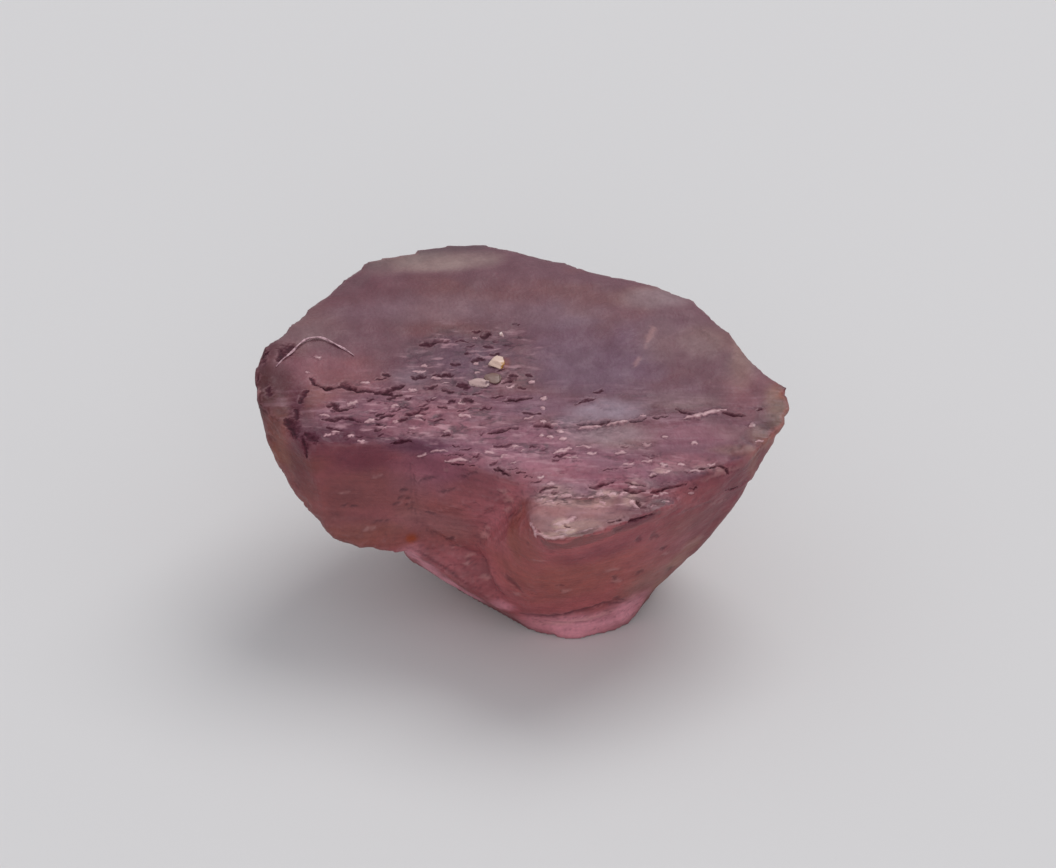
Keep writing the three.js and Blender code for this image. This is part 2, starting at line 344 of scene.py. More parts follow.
# %% Faint marks and blots
# Soft bumps of the walls, and dents where the height is below 0: (u, v, length, half width) in
# pixels, and the height in mm.
FAINT_MARKS = (
    (404, 489.5, 9, 1.2, -0.010), (404, 497.5, 13, 1.2, -0.010), (396, 502, 8, 1.1, -0.008),
    (410, 503, 8, 1.1, -0.008), (618, 531, 10, 2.4, -0.010), (639, 539.5, 6, 2.2, -0.012),
    (655, 536, 8, 2.0, -0.012), (663, 548.5, 5, 1.8, -0.014), (670, 568.5, 8, 1.4, -0.008),
    (615, 577.5, 5, 1.4, -0.008), (450, 539, 7, 1.4, -0.012), (454, 546.5, 9, 1.2, -0.010),
    (640, 572, 7, 1.2, -0.006), (560, 585, 8, 1.2, -0.006), (620, 600, 12, 1.4, -0.010),
    (380, 520, 16, 1.0, -0.006), (350, 505, 18, 1.0, -0.006), (430, 512, 14, 1.0, -0.006),
    (430, 478, 20, 1.4, -0.008), (470, 474, 16, 1.2, -0.008), (448, 488, 18, 1.2, -0.006),
    (378, 475.7, 8, 1.6, 0.008), (509.7, 499, 9, 2.2, 0.012), (503, 491, 9, 2.0, 0.010),
    (508, 508, 7, 1.8, 0.008), (520, 508, 5, 1.4, 0.008), (485.6, 534.5, 8, 2.2, 0.010),
    (488, 528, 5, 1.4, 0.008), (466, 564, 9, 1.4, 0.008), (486, 577, 11, 1.8, 0.008),
    (517, 593, 8, 1.4, 0.006), (456, 546, 10, 1.2, 0.008), (664.6, 553, 6, 1.4, 0.010),
    (612, 570, 12, 1.6, 0.006), (617, 581, 8, 1.4, 0.006), (722, 499.6, 8, 2.0, 0.012),
    (712, 503, 6, 1.2, 0.008), (345, 492, 14, 1.0, 0.005), (370, 528, 12, 1.2, 0.005),
    (540, 560, 14, 1.0, 0.005), (566, 590, 10, 1.2, 0.005), (470, 556, 12, 1.2, 0.006),
    (447, 468, 4, 1.4, 0.010), (301, 414, 3, 1.6, 0.012), (258, 392, 5, 1.6, 0.008),
)
# Pockets with dark dirt: (u, v, half width, half height) in pixels.
BLOTS = (
    (262, 356, 4, 5), (287, 349, 7, 4.5), (280, 355, 3, 5), (268.5, 391, 2, 6), (257, 378, 1.2, 3),
    (311, 437, 3.5, 3), (567, 525.5, 2.5, 1.2),
)
print(len(FAINT_MARKS), "faint marks and", len(BLOTS), "blots")

# %% [markdown]
# ## From the frame to the skin
# A ray from the lens through a pixel finds the point of the skin that carries a mark. One facet's
# normal would be too jumpy to measure along, so the normal is a mean over a small patch. On a
# slanting wall a mark is longer than it looks, and the slant says by how much.

# %% Find the skin behind a pixel
skin_tree = BVHTree.FromBMesh(skin)
skin_points = kdtree.KDTree(len(skin.verts))
for vertex in skin.verts:
    skin_points.insert(vertex.co, vertex.index)
skin_points.balance()
skin_normals = [vertex.normal.copy() for vertex in skin.verts]
NORMAL_REACH = 0.12       # mm of skin whose mean gives a mark's normal


def ray_through(u, v):
    """The way from the lens through a pixel of the frame."""
    return (view_ahead + view_right * (u - FRAME_WIDTH / 2) / FOCAL_PIXELS
            - view_up * (v - FRAME_HEIGHT / 2) / FOCAL_PIXELS)


def surface_at(u, v):
    """The skin's place and mean normal behind a pixel of the frame, in mm."""
    ray = ray_through(u, v)
    place = skin_tree.ray_cast(eye, ray.normalized())[0]
    if place is None:
        place = skin_tree.find_nearest(eye + ray * CAMERA_DISTANCE)[0]
    near = skin_points.find_range(place, NORMAL_REACH)
    normal = sum((skin_normals[i] for _, i, _ in near), Vector()).normalized()
    return place, normal


def axes_on(normal):
    """The ways along the skin that look level and upright in the frame."""
    along = (view_right - normal * normal.x).normalized()
    return along, normal.cross(along)


def slant(across, least=0.45):
    """How many times longer than it looks a mark is across a slanting wall, 1 / least at most."""
    return 1 / max(least, abs(across.dot(view_up)))


print("the middle of the frame is on the skin at", [round(x, 2) for x in surface_at(528, 434)[0]])

# %% [markdown]
# ## Strokes on the skin
# Every mark becomes a stroke: a row of points on the skin, close together, each with the way
# across the stroke that points towards the viewer. A straight line would look ruled, so a long
# line strays a little by noise, and a short mark gets six points of uneven height. The dice are
# thrown for one mark after the other, so the order of the tables is part of the look.

# %% Draw a line of pixels on the skin
CROOKED = (0.22, 1.1)     # bends per pixel along a line, and how many pixels they stray
PLATEAU = 1.1             # above 1, so that the middle of a stroke stays at full strength


def stroke_through(pixels, taper=0.5):
    """Samples of a line of pixels: place, way across, and strength, which fades to the ends.
    A small taper keeps the line strong almost to its ends."""
    corners = [Vector(p) for p in pixels]
    lengths = [(b - a).length for a, b in zip(corners, corners[1:])]
    samples = []
    run = 0.0
    for a, b, length in zip(corners, corners[1:], lengths):
        count = max(2, math.ceil(length))
        for k in range(count + 1):
            u, v = a.lerp(b, k / count)
            share = (run + length * k / count) / sum(lengths)
            stray = CROOKED[1] * noise.noise((u * CROOKED[0], v * CROOKED[0], 0.0))
            place, normal = surface_at(u, v + stray)
            along = view_right * (b - a).x - view_up * (b - a).y
            along = (along - normal * along.dot(normal)).normalized()
            across = normal.cross(along)
            if across.dot(view_up) > 0:
                across = -across
            arch = math.sin(math.pi * share) ** taper if 0 < share < 1 else 0.0
            samples.append((place, across, min(1.0, arch * PLATEAU)))
        run += length
    return samples


print("a level line of 20 pixels has", len(stroke_through(((500, 400), (520, 400)))), "samples")

# %% Draw a short, crooked mark
HALF_LENGTH = 0.60        # of the length that it seems to have, because its ends fade
TILTED = (-0.30, 0.16)    # how much it may climb or fall, of that half length
ALONG = (-1, -0.6, -0.2, 0.25, 0.65, 1)   # where its points lie, from end to end
JITTER = (0.4, 0.06)      # how far a point strays: pixels, and a share of the length
dice = random.Random(7)


def short_stroke(u, v, length):
    """A crooked line of pixels with its middle at u, v."""
    half = HALF_LENGTH * length
    tilt = dice.uniform(*TILTED) * half
    stray = JITTER[0] + JITTER[1] * length
    return tuple((u + half * share, v + tilt * share + dice.uniform(-1, 1) * stray)
                 for share in ALONG)


print("a short mark has", len(ALONG), "points")


# %% Turn every mark into a stroke
def named_strokes(lines, taper):
    """The samples, half width and height of each line in a table."""
    return [(stroke_through(line, taper), half, rise) for half, rise, line in lines.values()]


crack_strokes = named_strokes(CRACKS, 0.3)
ridge_strokes = named_strokes(RIDGES, 0.4)
faint_strokes = named_strokes(FAINT, 0.5)
faint_strokes += [(stroke_through(short_stroke(u, v, length)), half, rise)
                  for u, v, length, half, rise in FAINT_MARKS]
deep_strokes = [stroke_through(short_stroke(*mark)) for mark in DEEP_DASHES]
dash_strokes = [stroke_through(short_stroke(*mark)) for mark in DASHES]
fleck_strokes = [stroke_through(short_stroke(*mark)) for mark in FLECKS]
sharp_strokes = [samples for samples, _, _ in crack_strokes + ridge_strokes]
sharp_strokes += deep_strokes + dash_strokes + fleck_strokes
print(sum(len(samples) for samples in sharp_strokes), "points on", len(sharp_strokes), "strokes")

# %% [markdown]
# ## Finer skin where it is needed
# A skin fine enough for the smallest pit would be millions of faces if it were that fine all
# over. So only the faces that carry detail are cut in four: once over the front of the stone,
# and once more along the strokes. This is what a sculptor's dynamic detail does by hand.

# %% Cut the front finer
FINE_ROWS = (328, 650)    # rows of the frame where the skin is halved once
SEEN = -0.08              # cosine to the view: above it a face turns away


def pixel_of(places):
    """The pixel of the frame where each place is seen."""
    from_eye = np.asarray(places) - np.array(eye)
    depth = from_eye @ np.array(view_ahead)
    u = FRAME_WIDTH / 2 + FOCAL_PIXELS * (from_eye @ np.array(view_right)) / depth
    v = FRAME_HEIGHT / 2 - FOCAL_PIXELS * (from_eye @ np.array(view_up)) / depth
    return u, v


def cut_in_four(faces):
    """Halves the edges of these faces, which cuts each face in four."""
    edges = list({edge for face in faces for edge in face.edges})
    bmesh.ops.subdivide_edges(skin, edges=edges, cuts=1, use_grid_fill=True)
    skin.normal_update()


centres = np.array([face.calc_center_median() for face in skin.faces])
rows = pixel_of(centres)[1]
skin.faces.ensure_lookup_table()
front = [face for face, row in zip(skin.faces, rows)
         if FINE_ROWS[0] < row < FINE_ROWS[1] and face.normal.dot(view_ahead) < SEEN]
cut_in_four(front)
print(len(front), "faces of the front are cut in four")

# %% Cut again beside the strokes
STROKE_REACH = 0.055      # mm on each side of a stroke
stroke_points = kdtree.KDTree(sum(len(samples) for samples in sharp_strokes))
for number, sample in enumerate(sample for samples in sharp_strokes for sample in samples):
    stroke_points.insert(sample[0], number)
stroke_points.balance()
beside_strokes = [face for face in skin.faces
                  if stroke_points.find(face.calc_center_median())[2] < STROKE_REACH]
cut_in_four(beside_strokes)
print(len(beside_strokes), "faces beside strokes are cut again")

# %% Number the points of the finer skin
EDGE_SHIFT = (0.006, 0.050)   # mm that smoothing moved the skin: none of an edge, a sharp edge
skin.verts.ensure_lookup_table()
skin.verts.index_update()
places = np.array([vertex.co for vertex in skin.verts])
normals = np.array([vertex.normal for vertex in skin.verts])
point_tree = kdtree.KDTree(len(places))
for number, place in enumerate(places):
    point_tree.insert(place, number)
point_tree.balance()
base_number = [skin_points.find(place)[1] for place in places]
edge = smoothstep(*EDGE_SHIFT, shift[base_number])
triangles = sum(len(face.verts) - 2 for face in skin.faces)
print("skin:", len(places), "points,", triangles, "triangles")

# %% [markdown]
# ## Relief
# Broad swells come from how the crystal tore. Shell-shaped scars come from blows, and a cell
# pattern whose height is the distance to the nearest cell centre gives just such bowls with sharp
# crests between them. Parting steps come from the layers of the crystal: a slow rise and a quick
# drop, again and again. Small chips follow the rims. Displace modifiers could do the same, but a
# number at each point can be kept to one side of the stone and used again for its colour.

# %% Noise at each point
def cloud(size, stretch=(1, 1, 1), octaves=3, seed=0.0):
    """Soft noise at each point, about -1 to 1. Size is a lump's width in mm."""
    spots = places / (np.array(stretch) * size) + seed
    return np.array([noise.fractal(Vector(p), 1.0, 2.0, octaves) for p in spots])


def bowls(size, stretch=(1, 1, 1), seed=0.0):
    """Distance to the nearest cell centre, as a share of the cell's size."""
    spots = places / (np.array(stretch) * size) + seed
    return np.array([noise.voronoi(Vector(p))[0][0] for p in spots])


def steps(coordinate, period, drop=0.22):
    """Slow rise and quick drop along a coordinate, from -0.5 to 0.5."""
    phase = (coordinate / period) % 1.0
    return np.where(phase < 1 - drop, phase / (1 - drop), (1 - phase) / drop) - 0.5


print("noise is worked out at", len(places), "points")

# %% Swells and scars
SWELL = (0.95, 0.020)         # mm across, mm high
LUMPS = (0.30, 0.008)
GRAIN = (0.10, 0.0035)
SCAR = (0.85, 0.075)          # mm across, mm deep
top = smoothstep(0.35, 0.85, normals[:, 2] + 0.12 * cloud(0.3, seed=71.0))
wall = (1 - top) * smoothstep(-0.9, -0.3, normals[:, 2])
to_front = smoothstep(0.15, -0.75, places[:, 1])
broad = cloud(1.1, seed=3.1)
height = SWELL[1] * cloud(SWELL[0]) + LUMPS[1] * cloud(LUMPS[0], seed=5.0)
height += GRAIN[1] * cloud(GRAIN[0], seed=9.0)
scarred = (1 - 0.75 * top) * smoothstep(-0.5, 0.4, broad)
scarred *= 1 - 0.75 * smoothstep(-0.15, -0.55, normals[:, 2])
height += SCAR[1] * scarred * (bowls(SCAR[0], (1.3, 1, 0.8), seed=1.7) - 0.45)
print("swells and scars from", round(height.min(), 3), "to", round(height.max(), 3), "mm")

# %% Parting steps and chipped rims
STEP = (0.30, 0.022)          # mm from one parting step to the next, mm high
STRIA = (0.13, 0.006)         # mm between the fine lines of the walls, mm high
CHIP = (0.24, 0.024)          # mm across, mm deep, along the edges
along_layers = -places[:, 1] + 0.20 * cloud(0.8, (1.4, 1, 1), seed=2.0)
layered = top * to_front * smoothstep(-0.35, 0.35, cloud(0.8, (1.8, 1, 1), seed=12.0))
height += STEP[1] * layered * steps(along_layers, STEP[0])
across_wall = places[:, 2] + 0.05 * cloud(0.6, (2, 1, 1), seed=4.0)
height += STRIA[1] * wall * steps(-across_wall, STRIA[0], 0.4) * smoothstep(-0.3, 0.5, broad)
chips = 1 - smoothstep(0.20, 0.60, bowls(CHIP[0], (1.4, 1, 1), seed=61.0))
chips *= smoothstep(-0.15, 0.25, cloud(0.5, seed=63.0))
chips *= 1 - 0.85 * smoothstep(-0.6, 0.4, places[:, 1])
height -= CHIP[1] * edge * chips
print("with steps and chips from", round(height.min(), 3), "to", round(height.max(), 3), "mm")

# %% [markdown]
# ## The far side
# The side that faces away broke more roughly than the front. It has bigger lumps, round bowls and
# a few tall steps, and no small marks of its own. One mask, from how far a face turns away, keeps
# all of that off the front.

# %% Rougher breaks of the far side
BREAK = (0.48, 0.045)         # mm across, mm high
FAR_BOWL = (0.70, 0.9 * SCAR[1])   # mm across, mm deep
FAR_STEP = (0.45, 0.3)        # mm from step to step, and how much of it is the quick drop
far_side = (1 - top) * smoothstep(0.05, 0.45, normals @ np.array(view_ahead))
height += BREAK[1] * far_side * cloud(BREAK[0], (1.6, 1.6, 1), 4, seed=81.0)
far_bowls = 1 - smoothstep(0.1, 0.7, bowls(FAR_BOWL[0], (1.4, 1.4, 0.8), seed=83.0))
height -= FAR_BOWL[1] * far_side * far_bowls
height += STEP[1] * far_side * steps(places[:, 2] + 0.25 * broad, *FAR_STEP)
print("with the far side from", round(height.min(), 3), "to", round(height.max(), 3), "mm")

# %% [markdown]
# ## Carving the strokes
# Each stroke changes the height of the skin beside it, and leaves a stain or a shine that the
# material reads later as an attribute. The dark stain is partly dirt and partly painted shade, and
# the shine is a painted highlight. A crack is a groove. A dash drops at its line, with a lip behind
# it. A ridge and a fleck stand up and shine, and a faint mark does a little of either. The stain is
# kept as a cone, 1 on the line, a half at the rim of the mark and 0 beyond it, so that the material
# can cut it off sharply and fray its rim finer than the skin's points.

# %% Points beside a stroke
UNEVEN = (0.5, 0.9)           # how much a mark's width changes with fine and with broad noise
WIDTHS = (0.25, 2.4)          # the thinnest and the widest that the noise may make it
dark = np.zeros(len(places))
shine = np.zeros(len(places))
faint_dark = np.zeros(len(places))
faint_shine = np.zeros(len(places))
ragged = cloud(0.07, octaves=3, seed=21.0)
swelling = cloud(0.16, octaves=2, seed=23.0)


def near_stroke(samples, half_pixels, reach=0.16):
    """Points near a stroke: numbers, distance and side in half widths, and strength."""
    nearest = {}
    for place, across, strength in samples:
        stretch = slant(across)
        for other, number, distance in point_tree.find_range(place, reach):
            if number not in nearest or distance < nearest[number][0]:
                side = (other - place).dot(across)
                nearest[number] = (distance, side, strength, stretch)
    numbers = np.array(list(nearest), int)
    distance, side, strength, stretch = np.array(list(nearest.values())).reshape(-1, 4).T
    uneven = 1 + UNEVEN[0] * ragged[numbers] + UNEVEN[1] * swelling[numbers]
    uneven = np.clip(uneven, *WIDTHS)
    half = half_pixels * PIXEL * stretch * (0.25 + 0.75 * strength) * uneven
    return numbers, distance / half, side / half, strength


print("the first crack touches", len(near_stroke(*crack_strokes[0][:2])[0]), "points")


# %% Shapes of a mark
# Distances here are in half widths of the mark.
def stain(field, numbers, amount):
    """Keeps the stronger of two stains at each point."""
    field[numbers] = np.maximum(field[numbers], amount)


def cone(distance):
    """1 on the line, a half where the mark ends, 0 at twice that."""
    return np.clip(1 - distance / 2, 0, 1)


def carve_groove(samples, half_pixels, depth):
    """A crack: a groove with a low lip behind it, painted dark as dirt and shade."""
    numbers, distance, side, strength = near_stroke(samples, half_pixels)
    height[numbers] -= depth * strength * (1 - smoothstep(0.0, 1.9, distance))
    height[numbers] += 0.25 * depth * strength * np.exp(-((side + 2.3) / 1.0) ** 2)
    stain(dark, numbers, cone(distance))


def drop_step(samples, half_pixels, depth):
    """A dash: a drop along its line, painted dark as shade, and a lip behind it."""
    numbers, distance, side, strength = near_stroke(samples, half_pixels)
    past_end = np.sqrt(np.maximum(distance ** 2 - side ** 2, 0))
    fade = strength * (1 - smoothstep(0.3, 2.0, past_end))
    lip = np.exp(-((side + 2.2) / 1.1) ** 2)
    foot = np.exp(-(side / 1.2) ** 2)
    height[numbers] += fade * depth * (0.55 * lip - foot)
    stain(dark, numbers, cone(distance))


def raise_mark(samples, half_pixels, rise, fade, reach=0.16):
    """A ridge or a fleck: it stands up and shines with a painted highlight."""
    numbers, distance, _, strength = near_stroke(samples, half_pixels, reach)
    height[numbers] += rise * strength * (1 - smoothstep(0.0, fade, distance))
    stain(shine, numbers, cone(distance))


def draw_faint(samples, half_pixels, rise):
    """A faint mark: a soft bump that is paler, or a soft dent that is darker."""
    numbers, distance, _, strength = near_stroke(samples, half_pixels)
    soft = strength * (1 - smoothstep(0.0, 1.8, distance))
    height[numbers] += rise * soft
    stain(faint_shine if rise > 0 else faint_dark, numbers, soft)


print("a stain at 0, 1 and 2 half widths from its line:", cone(np.array([0, 1, 2])))

# %% Carve every stroke
RIDGE_WIDTH = 0.75            # of the half width in the table, so that a ridge stays crisp
CRACK_WIDTH = 0.62
CRACK_DEPTH = 0.8             # of the depth in the table
# The small marks: their least and most half width in pixels, and least and most height in mm.
FLECK = ((0.8, 1.4), (0.006, 0.012))
DASH = ((0.55, 1.0), (0.007, 0.014))
DEEP_DASH = ((1.0, 1.5), (0.015, 0.024))
for samples, half_pixels, rise in faint_strokes:
    draw_faint(samples, half_pixels, rise)
for samples, half_pixels, rise in ridge_strokes:
    raise_mark(samples, RIDGE_WIDTH * half_pixels, rise, 2.2)
for samples in fleck_strokes:
    raise_mark(samples, dice.uniform(*FLECK[0]), dice.uniform(*FLECK[1]), 1.8, 0.10)
for samples in dash_strokes:
    drop_step(samples, dice.uniform(*DASH[0]), dice.uniform(*DASH[1]))
for samples in deep_strokes:
    drop_step(samples, dice.uniform(*DEEP_DASH[0]), dice.uniform(*DEEP_DASH[1]))
for samples, half_pixels, depth in crack_strokes:
    carve_groove(samples, CRACK_WIDTH * half_pixels, CRACK_DEPTH * depth)
print("dark points:", int((dark > 0.5).sum()), "- shining points:", int((shine > 0.5).sum()))

# %% [markdown]
# ## Pockets and pinholes
# Dirt sits in pockets near the left end, and tiny pinholes are strewn over the pitted part of
# the top. A pocket is an ellipse on the skin, and the pinholes are the middles of small cells,
# kept only where a second noise allows them, so that they come in clusters as real ones do.

# %% Ellipses on the skin
def ellipse(u, v, half_wide, half_high, thick=0.9):
    """0 in the middle of an ellipse of the frame, 1 on its rim, measured along the skin."""
    middle, normal = surface_at(u, v)
    along, across = axes_on(normal)
    stretch = slant(across, 0.35)
    from_middle = places - np.array(middle)
    sideways = from_middle @ np.array(along) / (half_wide * PIXEL)
    upward = from_middle @ np.array(across) / (half_high * PIXEL * stretch)
    through = from_middle @ np.array(normal) / thick
    return np.sqrt(sideways ** 2 + upward ** 2 + through ** 2)


SOFT_RIM = 0.55               # how far a zone fades on each side of its rim, of its size
WAVER = 0.30                  # how far the rim strays
wobble = cloud(0.45, octaves=4, seed=51.0)


def painted(ellipses):
    """The strongest of some soft ellipses at each point."""
    field = np.zeros(len(places))
    for u, v, half_wide, half_high, strength in ellipses:
        rim = ellipse(u, v, half_wide, half_high) + WAVER * wobble
        inside = 1 - smoothstep(1 - SOFT_RIM, 1 + SOFT_RIM, rim)
        field = np.maximum(field, strength * inside)
    return field


print("a rim strays by at most", round(WAVER * float(np.abs(wobble).max()), 2), "of the zone's size")

# %% Press in the pockets
POCKET_DEPTH = 0.022          # mm
POCKET_THICK = 0.12           # mm of skin that a pocket reaches through
# Where the cracks are painted less dark: (u, v, half width, half height, strength) in pixels.
SHALLOW = ((625, 436, 130, 32, 1.0), (625, 492, 100, 17, 1.0))
for u, v, half_wide, half_high in BLOTS:
    rim = ellipse(u, v, half_wide, half_high, POCKET_THICK) + 0.9 * ragged
    height -= POCKET_DEPTH * (1 - smoothstep(0.4, 1.3, rim))
    dark = np.maximum(dark, cone(rim))
dark *= 1 - 0.30 * painted(SHALLOW)
print("with the pockets, dark points:", int((dark > 0.5).sum()))

# %% Strew the pinholes
PINHOLE = (0.110, 0.020)      # mm between cells, mm deep
ROUGH_SCALE = (0.12, 0.016)   # mm across, mm high, of the loose scales between the pits
# The pitted parts, in pixels as above.
PITTED = ((420, 412, 104, 34, 1.0), (475, 362, 62, 36, 0.9), (520, 440, 96, 26, 0.8),
          (600, 462, 90, 22, 0.55), (600, 492, 84, 16, 0.8), (690, 478, 44, 14, 0.6))
pitted = painted(PITTED) * smoothstep(0.15, 0.60, normals[:, 2])
pinhole = 1 - smoothstep(0.10, 0.42, bowls(PINHOLE[0], (2.2, 1, 1), seed=31.0) + 0.25 * ragged)
clusters = smoothstep(0.00, 0.30, cloud(0.35, (1.5, 1, 1), seed=33.0))
pinhole *= clusters * pitted
height -= PINHOLE[1] * pinhole
dark = np.maximum(dark, 0.62 * pinhole)
height += ROUGH_SCALE[1] * pitted * cloud(ROUGH_SCALE[0], (2.0, 1, 1), seed=41.0)
print("pinholes on", int((pinhole > 0.5).sum()), "points")

# %% [markdown]
# ## Stains and thin places
# Colour in this stone comes in soft zones. Lilac, orchid, rose, plum and maroon are the crystal's
# own, but parts of them are painted light and shade: lilac holds a painted sheen on the top, rose
# lifts the lower faces that the lamps reach less, and plum and maroon hold painted shade under the
# front edge, in folds and at the left end. Some are stains: amber, umber and rust are iron and dirt.
# Some are painted light: pale reflections on the top, a beige highlight along the rims, glints of
# fresh chips, the bright cells of a knot of beads, and the shelf where it faces up. Pink and glow
# are thin places, painted bright with the light that passes. One noise could mix such colours, but
# not put them where they belong, so each zone is painted as a few soft ellipses with a wavy rim, and
# becomes an attribute of the mesh.

# %% Zones of colour
# Soft ellipses of the frame: (u, v, half width, half height, strength).
ZONES = {
    # a bluish lilac; on the middle of the top it is a painted sheen of reflected light
    "lilac": ((590, 362, 62, 36, 0.9), (655, 388, 45, 14, 0.4), (470, 362, 48, 26, 0.7),
              (642, 371, 26, 12, 0.9), (417, 446, 28, 8, 1.0), (618, 312, 26, 9, 0.3),
              (640, 325, 44, 14, 0.35), (305, 418, 8, 10, 0.4), (352, 412, 42, 14, 0.4),
              (540, 405, 50, 12, 0.6)),
    # the pink violet of the broken edges
    "orchid": ((470, 452, 70, 12, 0.9), (530, 440, 70, 18, 0.8), (602, 472, 70, 16, 0.8),
               (570, 462, 80, 20, 0.8), (420, 412, 90, 26, 0.5), (538, 492, 24, 9, 0.6),
               (440, 522, 42, 12, 0.3), (520, 408, 60, 16, 0.5), (690, 440, 56, 20, 0.5),
               (330, 408, 36, 22, 0.3)),
    # whitish patches of painted reflection, on the top and near its back rim
    "pale_reflection": ((604, 410, 36, 11, 1.0), (578, 420, 26, 6, 0.6), (430, 308, 90, 14, 0.28),
              (655, 298, 30, 10, 0.35), (412, 376, 18, 10, 0.4), (560, 315, 44, 14, 0.25),
              (600, 376, 34, 8, 0.1), (560, 354, 34, 18, 0.1), (520, 462, 50, 8, 0.15),
              (602, 434, 40, 9, 0.4), (562, 491, 34, 9, 0.5)),
    # a lighter pink; on the bulge and the hollow at the front it is painted light, where the lamps
    # reach less
    "rose": ((322, 372, 50, 26, 0.40), (545, 492, 30, 14, 0.7), (298, 376, 14, 10, 0.4),
             (470, 461, 60, 8, 0.6), (690, 462, 38, 8, 0.6), (712, 434, 54, 12, 0.25),
             (521, 508, 13, 26, 0.9), (560, 588, 76, 32, 0.8), (545, 470, 46, 14, 0.6),
             (750, 395, 24, 24, 0.3), (545, 556, 30, 12, 0.6), (600, 552, 64, 20, 0.5),
             (650, 565, 44, 26, 0.35), (660, 493, 20, 5, 0.6), (500, 535, 30, 36, 0.9),
             (446, 562, 24, 18, 0.5), (535, 478, 26, 12, 0.6), (350, 412, 50, 14, 0.4),
             (327, 402, 16, 14, 0.5), (430, 420, 60, 16, 0.4), (760, 405, 20, 14, 0.4)),
    # the deep red of the left end, darkened with painted shade where that end turns from the light
    "maroon": ((261, 388, 16, 32, 1.0), (274, 414, 14, 18, 0.5), (306, 424, 16, 18, 0.5),
               (278, 382, 20, 18, 0.8), (296, 410, 10, 28, 0.7), (270, 352, 16, 9, 0.6),
               (292, 352, 16, 8, 0.4)),
    # a pale beige painted highlight, where light grazes the back rim and the edges
    "beige_highlight": ((440, 262, 54, 10, 1.0), (392, 260, 26, 9, 0.5), (440, 523, 42, 12, 0.15),
             (300, 322, 30, 14, 0.35), (652, 297, 36, 11, 0.6), (702, 342, 30, 16, 0.4),
             (745, 350, 16, 22, 0.4), (683, 402, 34, 8, 0.3), (612, 438, 40, 11, 0.5),
             (660, 340, 18, 26, 0.25), (740, 435, 20, 8, 0.3), (660, 590, 30, 9, 0.3)),
    # the browner tan edge on the right
    "tan": ((780, 414, 12, 20, 0.55), (764, 438, 12, 10, 0.7), (742, 450, 30, 6, 0.5),
            (775, 397, 10, 8, 0.5), (744, 348, 9, 20, 0.25), (692, 544, 12, 6, 0.5),
            (676, 562, 12, 7, 0.5), (660, 582, 12, 7, 0.4)),
    # painted light: the warm pink of the foot, lit through from behind
    "glow": ((565, 585, 84, 40, 1.0), (515, 540, 34, 34, 0.9), (590, 548, 70, 18, 0.6)),
    # the pale shelf on the front right, painted bright where it faces up to the light
    "ledge": ((586, 516, 50, 15, 0.85), (546, 518, 22, 20, 0.7), (618, 506, 36, 10, 0.8)),
    # a knot of tiny pale beads behind the shelf, their bright cells painted as glints
    "beads": ((556, 495, 20, 9, 1.0), (604, 494, 12, 5, 0.8), (632, 500, 10, 6, 0.8),
              (642, 483, 12, 4, 0.5), (668, 470, 14, 5, 0.6), (710, 467, 12, 4, 0.6)),
    # painted highlights: glints of fresh chips that catch the light
    "glint": ((562, 524, 8, 5, 0.8), (569, 530, 8, 4, 1.0), (556, 535, 24, 4, 0.5),
              (580, 503, 30, 5, 0.35), (582, 524, 18, 6, 0.35), (555, 495, 17, 9, 0.6),
              (606, 495, 9, 4, 0.6), (630, 500, 6, 5, 0.5)),
    # grey brown dirt, thinly spread
    "umber": ((380, 495, 44, 24, 0.55), (340, 525, 56, 14, 0.5), (300, 480, 22, 34, 0.4),
              (458, 346, 40, 18, 0.6), (492, 362, 22, 16, 0.6)),
    # spots of iron rust
    "rust": ((411.5, 538, 5.5, 4.5, 1.0), (779, 391, 7, 8, 0.45), (505, 364, 5, 6, 0.5)),
    # brown iron that crept in
    "amber": ((266, 440, 14, 60, 1.0), (262, 405, 9, 14, 0.8), (277, 432, 18, 34, 0.8),
              (513, 540, 15, 36, 0.8), (565, 582, 66, 22, 0.7), (300, 510, 40, 34, 0.2),
              (375, 538, 52, 14, 0.6), (528, 552, 18, 18, 0.6), (640, 578, 34, 16, 0.5),
              (420, 300, 90, 26, 0.15), (779, 400, 14, 20, 0.5), (440, 520, 40, 30, 0.35)),
    # the deepest, darkest crystal, and painted shade under the front edge, under the shelf and in
    # folds
    "plum": ((416, 446, 34, 9, 1.0), (355, 424, 16, 7, 0.9), (400, 366, 16, 8, 0.55),
             (459, 343, 26, 10, 0.25), (720, 515, 50, 40, 0.5), (372, 428, 20, 8, 0.4),
             (334, 435, 48, 11, 1.0), (417, 447, 24, 8, 0.8), (500, 398, 26, 9, 0.4),
             (335, 312, 50, 20, 0.4), (760, 458, 14, 20, 0.6), (736, 480, 28, 22, 0.6),
             (297, 412, 10, 26, 0.8), (660, 373, 22, 10, 0.4), (361, 457, 40, 14, 0.9),
             (345, 430, 30, 6, 0.5), (440, 466, 50, 12, 0.7), (582, 402, 14, 5, 0.5),
             (700, 480, 54, 9, 0.5), (640, 521, 22, 6, 0.9), (736, 464, 18, 8, 0.6),
             (608, 550, 56, 9, 0.6), (662, 523, 28, 10, 0.4), (570, 342, 44, 12, 0.2),
             (340, 480, 50, 30, 0.25), (330, 440, 40, 6, 0.6), (450, 470, 60, 10, 0.4),
             (390, 295, 60, 18, 0.25)),
    # painted light: the bright toe, and the strip that runs down to it, where light comes through
    # the thin stone
    "pink": ((585, 626, 56, 15, 1.0), (625, 610, 28, 12, 1.0), (409, 553, 16, 8, 1.0),
             (429, 567, 17, 7, 1.0), (449, 581, 16, 6, 1.0), (470, 594, 16, 5, 1.0),
             (500, 606, 14, 5, 0.7)),
}
print(len(ZONES), "zones of", sum(len(ellipses) for ellipses in ZONES.values()), "ellipses")

